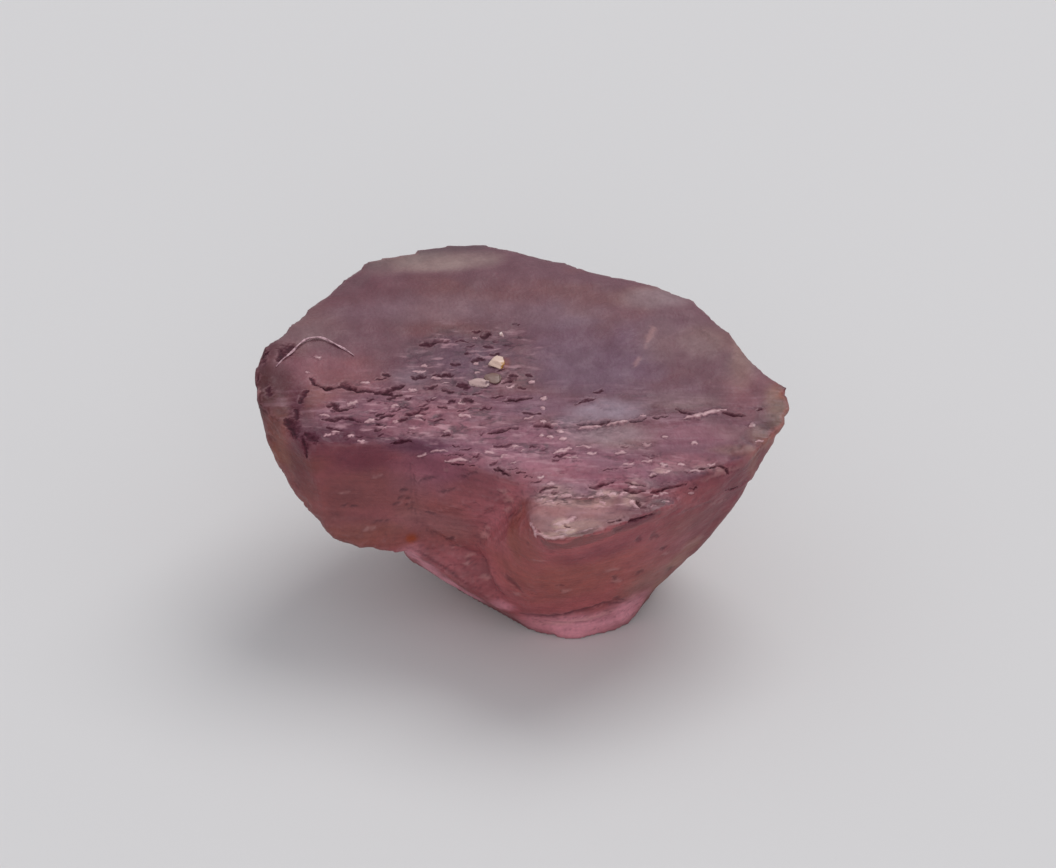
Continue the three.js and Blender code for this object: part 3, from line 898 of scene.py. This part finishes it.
# %% [markdown]
# ## Where the stone is thin
# A thin rim lets light through and a thick middle doesn't. How thick the stone is can be measured:
# a ray starts just under each point and goes straight inwards until it meets the other side.

# %% Paint the zones and measure the thickness
THIN = (0.25, 1.30)           # mm of stone: quite clear, and no clearer than the rest
UNDER = 0.02                  # mm under the skin where a ray starts
VERY_THICK = 10.0             # mm, where the ray meets nothing


def thickness(place, normal):
    """Stone behind a point, straight inwards, in mm."""
    start = Vector(place - UNDER * normal)
    found = skin_tree.ray_cast(start, Vector(-normal))
    return found[3] if found[0] is not None else VERY_THICK


fields = {name: painted(ellipses) for name, ellipses in ZONES.items()}
# The shelf's painted light and the painted glints stay where the skin faces up, towards the lamp.
upward = smoothstep(0.35, 0.75, normals[:, 2])
fields["ledge"] *= upward
fields["glint"] *= upward
depths = np.array([thickness(place, normal) for place, normal in zip(places, normals)])
fields["thin"] = 1 - smoothstep(*THIN, depths)
fields.update({"top": top, "pitted": pitted, "far": far_side, "layered": layered})
fields.update({"faint_dark": faint_dark, "faint_shine": faint_shine})
fields.update({"dark": dark, "shine": shine})
print({name: round(float(field.mean()), 3) for name, field in fields.items()})

# %% [markdown]
# ## The finished stone
# The heights are added along the skin's normals. The base stays flat, because the stone rests on it.
# Then crests and hollows are measured from how far each point stands out from its neighbours: crests
# are rubbed pale, and hollows are darkened with painted shade.

# %% Raise the relief
GROUND_BLEND = (0.0, 0.20)    # mm above the ground: no relief, full relief
height *= smoothstep(*GROUND_BLEND, places[:, 2])
raised = places + normals * height[:, None]
raised[:, 2] = np.maximum(raised[:, 2], 0)
for vertex, place in zip(skin.verts, raised):
    vertex.co = place
skin.normal_update()
raised_tree = BVHTree.FromBMesh(skin)
print("relief from", round(height.min(), 3), "to", round(height.max(), 3), "mm")

# %% Find crests and hollows
CREST = 3.0                   # 1/mm, a rounding radius of a third of a millimetre


def standing_out(vertex):
    """Curvature at a point in 1/mm: above 0 on a crest, below 0 in a hollow."""
    others = [edge.other_vert(vertex).co for edge in vertex.link_edges]
    mean = sum(others, Vector()) / len(others)
    spacing = sum((other - vertex.co).length_squared for other in others) / len(others)
    return 2 * (vertex.co - mean).dot(vertex.normal) / spacing


curvature = np.array([standing_out(vertex) for vertex in skin.verts])
fields["crest"] = smoothstep(0.5 * CREST, 3 * CREST, curvature)
fields["hollow"] = smoothstep(0.5 * CREST, 3 * CREST, -curvature)
print("crests on", int((fields["crest"] > 0.5).sum()), "points,",
      "hollows on", int((fields["hollow"] > 0.5).sum()))

# %% Make the stone's mesh
bmesh.ops.scale(skin, vec=(MM,) * 3, verts=skin.verts)
bmesh.ops.recalc_face_normals(skin, faces=skin.faces)
stone_mesh = bpy.data.meshes.new("sapphire_stone")
skin.to_mesh(stone_mesh)
skin.free()
for name, field in fields.items():
    attribute = stone_mesh.attributes.new(name, "FLOAT", "POINT")
    attribute.data.foreach_set("value", field.astype(np.float32))
stone = new_object("sapphire_stone", stone_mesh)
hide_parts("rough_sapphire")
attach(stone, "root")
stone_size = [round(side / MM, 2) for side in stone.dimensions]
print("stone:", len(stone_mesh.polygons), "faces, in mm:", stone_size)

# %% [markdown]
# ## Sapphire, broken and worn
# Sapphire is crystalline corundum, aluminium oxide coloured by iron, titanium and chromium. A
# broken, worn surface scatters light, so the stone looks waxy rather than glassy: part of the
# light returns from the skin with the colour of the zones, and part goes through and is filtered
# by the stone's depth, which takes green and blue and leaves a pink red.
#
# Between the marks that were placed one by one, the skin is full of finer ones: bands, scales,
# threads and specks. Each is one noise with its own size in millimetres. Most are stretched along
# the stone, because its layers are. A soft step then keeps only the upper part of the noise, which
# turns clouds into separate patches.

# %% Noise patterns of the stone
# name: mm across, detail, stretch along x, y and z, and the noise that is blank and full
PATTERNS = {
    "patches": (1.5, 3, (1, 1, 1), 0.38, 0.64),
    "drift": (0.9, 3, (1.6, 1, 1), 0.44, 0.66),
    "mottle": (0.26, 4, (1, 1, 1), 0.36, 0.66),
    "speckle": (0.05, 2, (1, 1, 1), 0.34, 0.68),
    "fray": (0.030, 2, (2.5, 1, 1), 0.30, 0.70),
    "streaks": (0.075, 3, (5, 1, 1), 0.45, 0.68),
    "lines": (0.055, 2, (12, 12, 1), 0.40, 0.65),
    "bands": (0.11, 3, (3.5, 1, 1), 0.48, 0.66),
    "threads": (0.16, 3, (2.2, 1, 1), 0.435, 0.565),
    "gates": (0.28, 2, (1.5, 1, 1), 0.46, 0.60),
    "scales": (0.085, 2, (3.2, 1, 1), 0.54, 0.72),
    "depths": (0.20, 2, (1, 1, 1), 0.30, 0.70),
}
tree = empty_tree("sapphire_broken_and_worn")
spot = add_node(tree, "TexCoord", take="Object")
pattern = {}
for name, (size, detail, stretch, blank, full) in PATTERNS.items():
    scale = [1 / (size * MM * share) for share in stretch]
    where = add_node(tree, "Mapping", inputs={"Vector": spot, "Scale": scale})
    lumps = add_node(tree, "TexNoise", inputs={"Vector": where, "Scale": 1.0, "Detail": detail})
    pattern[name] = add_node(tree, "MapRange", {"interpolation_type": "SMOOTHSTEP"},
                             {"Value": lumps, "From Min": blank, "From Max": full})
zone = {name: add_node(tree, "Attribute", {"attribute_name": name}, take="Fac")
        for name in fields}
print(len(pattern), "patterns and", len(zone), "zones")

# %% [markdown]
# ## Frayed marks
# The stains of the strokes are cones. Fine noise is added to them and the sum is cut off at a half,
# which gives a crisp rim with small bites, as a broken edge has. A second cut further up the cone
# gives each mark a deeper core. Thin threads, where a noise crosses its middle value, add the hair
# cracks that are too many to place one by one.

# %% Cut the marks off
FRAY = 0.36                   # how much of a cone the fine noise may bite off
RIM = 0.30                    # how soft the rim is
CORE = 0.80                   # where on the cone the deep middle of a mark begins
mark = {}
for name in ("dark", "shine"):
    bitten = add_node(tree, "Math", {"operation": "MULTIPLY_ADD"},
                      {0: pattern["fray"], 1: FRAY, 2: zone[name]})
    for part, cut in ((name, 0.5), (name + " core", CORE)):
        mark[part] = add_node(tree, "MapRange", {"interpolation_type": "SMOOTHSTEP"},
                              {"Value": bitten, "From Min": cut + FRAY / 2 - RIM,
                               "From Max": cut + FRAY / 2 + RIM})
# A noise times what it lacks to 1 peaks at a quarter, in its middle: times 4, the thread is full.
opposite = add_node(tree, "Math", {"operation": "SUBTRACT"}, {0: 1.0, 1: pattern["threads"]})
thread = add_node(tree, "Math", {"operation": "MULTIPLY"}, {0: opposite, 1: pattern["threads"]})
mark["thread"] = add_node(tree, "Math", {"operation": "MULTIPLY"}, {0: thread, 1: 4.0})
print("masks of the marks:", ", ".join(mark))

# %% [markdown]
# ## Colours in layers
# A painter would glaze this stone: a ground colour first, then thin layers one over the other.
# The nodes do the same. Each layer is one colour, and its masks multiplied say where it lies. The
# soft zones come first, then the patterns of the skin, and the sharp marks last, because a crack
# cuts through every stain. One loop builds the chain from a table, which is far easier to change
# than forty nodes wired by hand.

# %% Lay the colours over each other
BODY_COLOUR = "#a8565c"
TOP_COLOUR = "#7c4c58"
# Colours laid one over the other: masks that are multiplied, colour, strength.
LAYERS = (
    ((pattern["patches"],), "#5c2c36", 0.26),
    ((pattern["drift"],), "#8e4a3a", 0.30),
    ((zone["orchid"],), "#b8748c", 0.70),
    # Rose: partly painted light on the lower faces.
    ((zone["rose"],), "#da7a86", 0.50),
    # Painted light through the thin foot.
    ((zone["glow"],), "#dc6460", 0.35),
    ((zone["umber"],), "#5c4038", 0.55),
    # Lilac: partly a painted sheen of reflected light.
    ((zone["lilac"],), "#78546e", 0.70),
    ((zone["amber"],), "#905034", 0.65),
    # Maroon: dark red, and painted shade at the left end.
    ((zone["maroon"],), "#440c10", 0.95),
    # Painted light through the toe and the strip above it.
    ((zone["pink"],), "#e296a4", 0.92),
    # Painted highlight along the rims.
    ((zone["beige_highlight"],), "#b89c94", 0.65),
    ((zone["tan"],), "#c49474", 0.65),
    # Painted light on the shelf, where it faces up.
    ((zone["ledge"],), "#bc8c8a", 0.80),
    # Painted reflection, pale and whitish.
    ((zone["pale_reflection"],), "#b49cac", 0.75),
    ((zone["rust"],), "#a8420c", 0.90),
    ((pattern["mottle"],), "#4c2834", 0.18),
    ((pattern["lines"],), "#5a2a34", 0.12),
    ((zone["layered"], pattern["streaks"]), "#c898a8", 0.26),
    ((zone["faint_shine"],), "#d09a96", 0.38),
    ((zone["faint_dark"],), "#3c1424", 0.50),
    ((zone["crest"],), "#b8868c", 0.22),
    # Painted shade in the hollows.
    ((zone["hollow"],), "#34182a", 0.35),
    # Plum: dark crystal, and painted shade under edges and in folds.
    ((zone["plum"],), "#541630", 0.70),
    ((zone["ledge"], pattern["gates"]), "#94686c", 0.45),
    # Painted glints.
    ((zone["glint"],), "#f4c8b8", 0.75),
    ((zone["far"], pattern["patches"]), "#6c484a", 0.42),
    ((zone["far"], pattern["drift"]), "#ac7a70", 0.38),
    ((zone["far"], pattern["bands"]), "#5c2c30", 0.25),
    ((zone["far"], pattern["scales"]), "#c48c8c", 0.22),
    ((zone["far"], pattern["gates"], mark["thread"]), "#3c1420", 0.32),
    ((zone["pitted"], pattern["bands"]), "#64344a", 0.40),
    ((zone["pitted"], pattern["scales"]), "#d8a4ae", 0.60),
    ((zone["pitted"], pattern["gates"], mark["thread"]), "#3a1a2a", 0.66),
    # The beads: pale, with painted glints in their bright cells.
    ((zone["beads"],), "#c89ea0", 0.40),
    ((zone["beads"], pattern["scales"]), "#ecc0b8", 0.75),
    ((zone["beads"], mark["thread"]), "#3a1626", 0.60),
    # Painted highlights on the ridges and flecks.
    ((mark["shine"], pattern["depths"]), "#e8b4bc", 0.60),
    ((mark["shine"],), "#c8949c", 0.45),
    ((mark["shine core"],), "#f0c8c8", 0.50),
    # The dark marks: partly dirt, partly painted shade in cracks, steps and pinholes.
    ((mark["dark"], pattern["depths"]), "#280414", 0.50),
    ((mark["dark"],), "#4c1226", 0.70),
    ((mark["dark core"],), "#1c040e", 0.60),
    ((pattern["speckle"],), "#40202c", 0.12),
)
colour = add_node(tree, "Mix", {"data_type": "RGBA"},
                  {0: zone["top"], 6: linear(BODY_COLOUR), 7: linear(TOP_COLOUR)}, take=2)
for masks, hex_colour, strength in LAYERS:
    share = strength
    for mask in masks:
        share = add_node(tree, "Math", {"operation": "MULTIPLY"}, {0: share, 1: mask})
    colour = add_node(tree, "Mix", {"data_type": "RGBA"},
                      {0: share, 6: colour, 7: linear(hex_colour)}, take=2)
print(len(LAYERS), "layers of colour")

# %% [markdown]
# ## Gloss, depth and fine grain
# Colour alone would look painted on. Broken corundum is satin: fresh chips gleam, and dirt in a
# crack is dull. Some light enters everywhere, and most where the stone is thin, but hardly any
# through the dark marks of dirt and painted shade, or through the darkest crystal, whose plum and
# maroon also carry painted shade. Grain finer than the mesh is left to a bump, and its streaks
# follow the crystal's layers.

# %% Roughness and clearness
WORN_ROUGHNESS = 0.46         # satin, where nothing else changes it
CLEARNESS = (0.22, 0.55)      # share of the light that enters, where thick and where thin
# What makes the skin rougher or smoother, and by how much.
ROUGH_WHERE = ((pattern["mottle"], 0.10), (mark["shine"], -0.14), (mark["dark"], 0.25))
# What closes the skin, and the share of the clearness that it leaves. The toe and the shelf are
# painted bright with painted light, so they need less light from inside.
SHUT_WHERE = ((mark["dark"], 0.1), (zone["pink"], 0.3), (zone["ledge"], 0.4),
              (zone["maroon"], 0.1), (zone["plum"], 0.4))
rough = WORN_ROUGHNESS
for mask, change in ROUGH_WHERE:
    rough = add_node(tree, "Math", {"operation": "MULTIPLY_ADD"}, {0: mask, 1: change, 2: rough})
clear = add_node(tree, "MapRange", inputs={"Value": zone["thin"], "To Min": CLEARNESS[0],
                                           "To Max": CLEARNESS[1]})
for mask, left in SHUT_WHERE:
    shut = add_node(tree, "MapRange", inputs={"Value": mask, "To Min": 1.0, "To Max": left})
    clear = add_node(tree, "Math", {"operation": "MULTIPLY"}, {0: clear, 1: shut})
print("clearness up to", CLEARNESS[1], "with", len(SHUT_WHERE), "masks that shut it")

# %% Fine grain
BUMP = (0.5, 0.012)           # strength, and height in mm
# What stands up and what lies deep, and by how much of that height.
GRAIN_WHERE = ((pattern["speckle"], 0.35), (pattern["streaks"], 0.30), (pattern["lines"], 0.35),
               (mark["shine"], 0.60), (mark["dark"], -1.00))
grain = 0.0
for mask, change in GRAIN_WHERE:
    grain = add_node(tree, "Math", {"operation": "MULTIPLY_ADD"}, {0: mask, 1: change, 2: grain})
bump = add_node(tree, "Bump", inputs={"Strength": BUMP[0], "Distance": BUMP[1] * MM,
                                      "Height": grain})
print("grain from", len(GRAIN_WHERE), "masks")

# %% Sapphire, broken and worn
# Corundum bends light strongly, which gives a fresh chip its cold gleam. Its worn skin mirrors
# much less than a polished facet does. Absorption inside reddens the light that comes back out.
SAPPHIRE_IOR = 1.77
SPECULAR_LEVEL = 0.14
ABSORPTION_COLOUR = "#c86478"
ABSORPTION_DENSITY = 800.0    # per metre
depth_tint = add_node(tree, "VolumeAbsorption", inputs={"Color": linear(ABSORPTION_COLOUR),
                                                        "Density": ABSORPTION_DENSITY})
sapphire = finished_material("sapphire_broken_and_worn", {
    "Base Color": colour, "Roughness": rough, "Transmission Weight": clear, "Normal": bump,
    "IOR": SAPPHIRE_IOR, "Specular IOR Level": SPECULAR_LEVEL}, depth_tint)
stone_mesh.materials.append(sapphire)
print("sapphire:", len(tree.nodes), "nodes")

# %% [markdown]
# ## The lint fibre
# A cotton fibre is a flat ribbon that dries with a twist, about a hundredth of a millimetre to a
# few hundredths wide. A curve with a bevel would give a round wire. So a flat ring is extruded
# from station to station along a smooth line on the stone, and turned a little at each one.

# %% Lay the fibre's line on the stone
FIBRE_LINE = ((276, 367), (283, 360), (293, 352), (300, 345), (308, 340.5), (320, 339),
              (333, 344), (345, 350), (354, 356))
FIBRE_THICK = 0.018           # mm
FIBRE_LIFT = 0.022            # mm that its middle arches off the stone
STATIONS = 56


def resting_place(u, v):
    """The raised skin's place behind a pixel, and the mean normal there, in mm."""
    return raised_tree.ray_cast(eye, ray_through(u, v).normalized())[0], surface_at(u, v)[1]


def along_line(line, share):
    """A point on a smooth curve through the pixels."""
    run = share * (len(line) - 1)
    k = min(int(run), len(line) - 2)
    a, b, c, d = [Vector(line[min(max(k + i, 0), len(line) - 1)]) for i in (-1, 0, 1, 2)]
    t = run - k
    return 0.5 * ((2 * b) + (c - a) * t + (2 * a - 5 * b + 4 * c - d) * t ** 2
                  + (3 * b - a - 3 * c + d) * t ** 3)


centres = []
for k in range(STATIONS):
    share = k / (STATIONS - 1)
    place, normal = resting_place(*along_line(FIBRE_LINE, share))
    lift = FIBRE_THICK / 2 + FIBRE_LIFT * math.sin(math.pi * share) ** 2
    centres.append(place + normal * lift)
fibre_length = sum((b - a).length for a, b in zip(centres, centres[1:]))
print("fibre:", round(fibre_length, 2), "mm long")

# %% Sweep the fibre
FIBRE_WIDTH = 0.034           # mm
FIBRE_TWIST = math.radians(16)   # at each station
FIBRE_TIP = 0.45              # how wide its two ends are, as a share of the middle
RIBBON_SIDES = 8
frames = []
for k, centre in enumerate(centres):
    ahead = centres[min(k + 1, STATIONS - 1)] - centres[max(k - 1, 0)]
    turn = ahead.to_track_quat("Z", "Y").to_matrix().to_4x4()
    full = min(1.0, 6 * min(k, STATIONS - 1 - k) / STATIONS)
    thin_end = FIBRE_TIP + (1 - FIBRE_TIP) * full
    size = Matrix.Diagonal((FIBRE_WIDTH / 2 * thin_end, FIBRE_THICK / 2 * thin_end, 1, 1))
    twist = Matrix.Rotation(FIBRE_TWIST * k, 4, "Z")
    frames.append(Matrix.Translation(centre) @ turn @ twist @ size)

ribbon = bmesh.new()
bmesh.ops.create_circle(ribbon, segments=RIBBON_SIDES, radius=1, matrix=frames[0])
ring = list(ribbon.edges)
bmesh.ops.contextual_create(ribbon, geom=ring)
for last, following in zip(frames, frames[1:]):
    grown = bmesh.ops.extrude_edge_only(ribbon, edges=ring)["geom"]
    ring = [part for part in grown if isinstance(part, bmesh.types.BMEdge) and part.is_boundary]
    points = [part for part in grown if isinstance(part, bmesh.types.BMVert)]
    bmesh.ops.transform(ribbon, matrix=following @ last.inverted(), verts=points)
bmesh.ops.contextual_create(ribbon, geom=ring)
# Extruding gives its faces in no fixed order. Sorted from left to right, they are the same each run.
ribbon.faces.sort(key=lambda face: face.calc_center_median().x)
bmesh.ops.recalc_face_normals(ribbon, faces=ribbon.faces)
bmesh.ops.scale(ribbon, vec=(MM,) * 3, verts=ribbon.verts)
fibre_mesh = bpy.data.meshes.new("lint_fibre")
ribbon.to_mesh(fibre_mesh)
closed = all(part.is_manifold for part in ribbon.edges)
print("fibre:", len(fibre_mesh.polygons), "faces, closed:", closed)
ribbon.free()
fibre = new_object("lint_fibre", fibre_mesh)
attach(fibre, "root")

# %% [markdown]
# ## Cotton lint
# Cotton is white, but a fibre this thin takes on the pink of the stone below it, and that pink light
# is painted into its colour. It has no hard highlight, because its skin is wrinkled. A little noise
# darkens it here and there, where dust clings to it.

# %% Cotton lint, dusty
# Dull and pale, so that the fibre reads as soft.
# The pink of the lint is painted light from the stone below.
LINT_COLOUR = "#d0acb2"
LINT_SHADE = "#946e78"
LINT_PATCH = 0.06             # mm across
LINT_WRINKLE = 0.002          # mm high
tree = empty_tree("cotton_lint")
spot = add_node(tree, "TexCoord", take="Object")
where = add_node(tree, "Mapping", inputs={"Vector": spot, "Scale": [1 / (LINT_PATCH * MM)] * 3})
lumps = add_node(tree, "TexNoise", inputs={"Vector": where, "Scale": 1.0, "Detail": 2.0})
share = add_node(tree, "MapRange", inputs={"Value": lumps, "From Min": 0.40, "From Max": 0.65})
colour = add_node(tree, "Mix", {"data_type": "RGBA"},
                  {0: share, 6: linear(LINT_COLOUR), 7: linear(LINT_SHADE)}, take=2)
bump = add_node(tree, "Bump", inputs={"Strength": 0.4, "Distance": LINT_WRINKLE * MM,
                                      "Height": lumps})
fibre_mesh.materials.append(finished_material("cotton_lint", {
    "Base Color": colour, "Roughness": 0.8, "Normal": bump, "Specular IOR Level": 0.3}))
print("lint:", len(tree.nodes), "nodes")

# %% [markdown]
# ## Grains of another mineral
# Four small grains are stuck in the pitted part: one with a yellow rim, a whitish one, an olive
# one between them and a single sparkling speck. A grain of feldspar breaks along a few flat faces.
# A cube would look made, so a ball is cut by some planes, each cut is filled, and noise roughens
# the breaks. Seeded dice turn the planes, so that no two grains are alike.

# %% Break a ball into a grain
CUTS = 7
CUT_AT = (0.50, 0.80)         # of the radius, from the middle
LONGEST_EDGE = 0.2            # of the radius
ROUGH_BREAK = (1.6, 0.16)     # how fine the noise of its breaks is, and how high, of the radius
grain_dice = random.Random(11)


def broken_ball(seed):
    """A ball of radius 1, cut by planes, with rough breaks."""
    lump = bmesh.new()
    bmesh.ops.create_icosphere(lump, subdivisions=3, radius=1)
    for _ in range(CUTS):
        away = Vector([grain_dice.gauss(0, 1) for _ in range(3)]).normalized()
        cut = bmesh.ops.bisect_plane(lump, geom=lump.verts[:] + lump.edges[:] + lump.faces[:],
                                     plane_co=away * grain_dice.uniform(*CUT_AT),
                                     plane_no=away, clear_outer=True)["geom_cut"]
        rim = [part for part in cut if isinstance(part, bmesh.types.BMEdge)]
        bmesh.ops.contextual_create(lump, geom=rim)
    bmesh.ops.triangulate(lump, faces=lump.faces)
    for _ in range(2):
        long_edges = [part for part in lump.edges if part.calc_length() > LONGEST_EDGE]
        bmesh.ops.subdivide_edges(lump, edges=long_edges, cuts=1)
        bmesh.ops.triangulate(lump, faces=lump.faces)
    for point in lump.verts:
        bite = noise.fractal(point.co * ROUGH_BREAK[0] + seed, 1.0, 2.0, 4)
        point.co *= 1 + ROUGH_BREAK[1] * bite
    bmesh.ops.smooth_vert(lump, verts=lump.verts, factor=0.2, **ALL_WAYS)
    return lump


print("each grain is cut by", CUTS, "planes")

# %% Set the grains on the stone
# name: (u, v, half sizes across, up and out of the stone in pixels, turn, colour, rim colour)
GRAINS = {
    "grain_yellow": (496.5, 363.6, 10.5, 8.5, 4.6, 0.2, "#dcbcac", "#b07820"),
    "grain_white": (479.5, 384.2, 11.0, 5.6, 3.2, -0.1, "#bc9c98", "#80646a"),
    "grain_olive": (495.0, 377.5, 10.5, 7.5, 2.0, 0.5, "#7a5c54", "#5e463c"),
    "grain_spark": (501.4, 334.4, 2.2, 2.0, 1.6, 0.0, "#e0c8c4", "#c8a8a4"),
}
SUNK = 0.25                   # of the half height
FLATTENED = 0.8               # of the height that it has in the frame
STAIN_SIDE = Vector((0.90, -0.35, -0.25))   # the side of a grain that keeps its iron stain
grains = {}
for name, (u, v, wide, high, out, turn, _, _) in GRAINS.items():
    lump = broken_ball(Vector((u, v, 0)))
    place, normal = resting_place(u, v)
    along, across = axes_on(normal)
    stretch = slant(across)
    lying = Matrix((along, across, normal)).transposed().to_4x4()
    size = Matrix.Diagonal((wide * PIXEL, high * PIXEL * stretch * FLATTENED, out * PIXEL, 1))
    stand = Matrix.Translation(place + normal * out * PIXEL * (1 - SUNK) * 0.5)
    bmesh.ops.transform(lump, verts=lump.verts,
                        matrix=stand @ lying @ Matrix.Rotation(turn, 4, "Z") @ size)
    bmesh.ops.recalc_face_normals(lump, faces=lump.faces)
    bmesh.ops.scale(lump, vec=(MM,) * 3, verts=lump.verts)
    grain_mesh = bpy.data.meshes.new(name)
    lump.to_mesh(grain_mesh)
    lump.normal_update()
    facing = [point.normal.dot(STAIN_SIDE) for point in lump.verts]
    grain_mesh.attributes.new("facing", "FLOAT", "POINT").data.foreach_set("value", facing)
    closed = all(part.is_manifold for part in lump.edges)
    print(name, len(grain_mesh.polygons), "faces, closed:", closed)
    lump.free()
    grains[name] = new_object(name, grain_mesh)
    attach(grains[name], "root")

# %% [markdown]
# ## Weathered feldspar
# Feldspar is milky, with a satin gleam on its flat breaks. One side of a grain still keeps the iron
# stain of the rock that it came from, yellow on one grain and brown on the next. How far each point
# faces that side is an attribute of the mesh, and the stain begins at an uneven line across it.

# %% Feldspar, weathered
# Milky and satin, so that a grain reads as stone and not as plastic.
FELDSPAR_IOR = 1.53
FELDSPAR_ROUGHNESS = 0.38
FELDSPAR_PATCH = 0.05         # mm across
FELDSPAR_PITS = 0.006         # mm deep
STAIN_FROM = (0.62, 1.02)     # how far a point faces the stained side: no stain, full stain
for name, grain in grains.items():
    colour_hex, rim_hex = GRAINS[name][-2:]
    tree = empty_tree("feldspar_" + name)
    spot = add_node(tree, "TexCoord", take="Object")
    where = add_node(tree, "Mapping", inputs={"Vector": spot,
                                              "Scale": [1 / (FELDSPAR_PATCH * MM)] * 3})
    lumps = add_node(tree, "TexNoise", inputs={"Vector": where, "Scale": 1.0, "Detail": 3.0})
    facing = add_node(tree, "Attribute", {"attribute_name": "facing"}, take="Fac")
    uneven = add_node(tree, "Math", {"operation": "ADD"}, {0: facing, 1: lumps})
    share = add_node(tree, "MapRange", inputs={"Value": uneven, "From Min": STAIN_FROM[0],
                                               "From Max": STAIN_FROM[1]})
    colour = add_node(tree, "Mix", {"data_type": "RGBA"},
                      {0: share, 6: linear(colour_hex), 7: linear(rim_hex)}, take=2)
    bump = add_node(tree, "Bump", inputs={"Strength": 0.5, "Distance": FELDSPAR_PITS * MM,
                                          "Height": lumps})
    grain.data.materials.append(finished_material("feldspar_" + name, {
        "Base Color": colour, "Roughness": FELDSPAR_ROUGHNESS, "IOR": FELDSPAR_IOR,
        "Normal": bump}))
print(len(grains), "grains with their own colours")

# %% [markdown]
# ## Floor and light
# The stone stands on plain pale paper. One large soft box hangs above it, a little behind and to
# the right, so that the top is the brightest side. A weaker one fills the front from the left,
# and the sky fills the rest.

# %% Lay the paper floor
FLOOR_SIZE = 2.0              # metres
FLOOR_GAP = 0.00001           # metres, so that the base and the floor aren't one plane
FLOOR_COLOUR = "#d6d4d3"
floor_bmesh = bmesh.new()
bmesh.ops.create_grid(floor_bmesh, x_segments=1, y_segments=1, size=FLOOR_SIZE / 2)
bmesh.ops.translate(floor_bmesh, vec=(0, 0, -FLOOR_GAP), verts=floor_bmesh.verts)
floor_mesh = bpy.data.meshes.new("paper_floor")
floor_bmesh.to_mesh(floor_mesh)
floor_bmesh.free()
floor = new_object("paper_floor", floor_mesh)
empty_tree("matt_paper")
paper = finished_material("matt_paper", {"Base Color": linear(FLOOR_COLOUR), "Roughness": 0.9})
floor_mesh.materials.append(paper)
print("floor:", FLOOR_SIZE, "m square")

# %% Hang the lights
BOX_DISTANCE = 0.36           # metres
BOX_SIZE = 0.24
BOX_TOWARDS = Vector((0.30, 0.40, 0.87))
BOX_POWER = 0.55              # watts
FILL_TOWARDS = Vector((0.05, -0.90, 0.36))
FILL_POWER = 0.27
SKY_COLOUR = "#e4e6ec"
SKY_STRENGTH = 0.72


def soft_box(name, towards, power):
    """A square soft box that faces the stone from that direction."""
    light = bpy.data.lights.new(name, "AREA")
    light.size = BOX_SIZE
    light.energy = power
    box = bpy.data.objects.new(name, light)
    box.location = towards.normalized() * BOX_DISTANCE
    box.rotation_euler = towards.to_track_quat("Z", "Y").to_euler()
    bpy.context.scene.collection.objects.link(box)


soft_box("overhead", BOX_TOWARDS, BOX_POWER)
soft_box("fill", FILL_TOWARDS, FILL_POWER)

world = bpy.data.worlds.new("sky")
world.use_nodes = True
world.node_tree.nodes["Background"].inputs["Color"].default_value = linear(SKY_COLOUR)
world.node_tree.nodes["Background"].inputs["Strength"].default_value = SKY_STRENGTH
bpy.context.scene.world = world
bpy.context.scene.view_settings.view_transform = "Standard"
print("lights:", [light.name for light in bpy.data.lights])
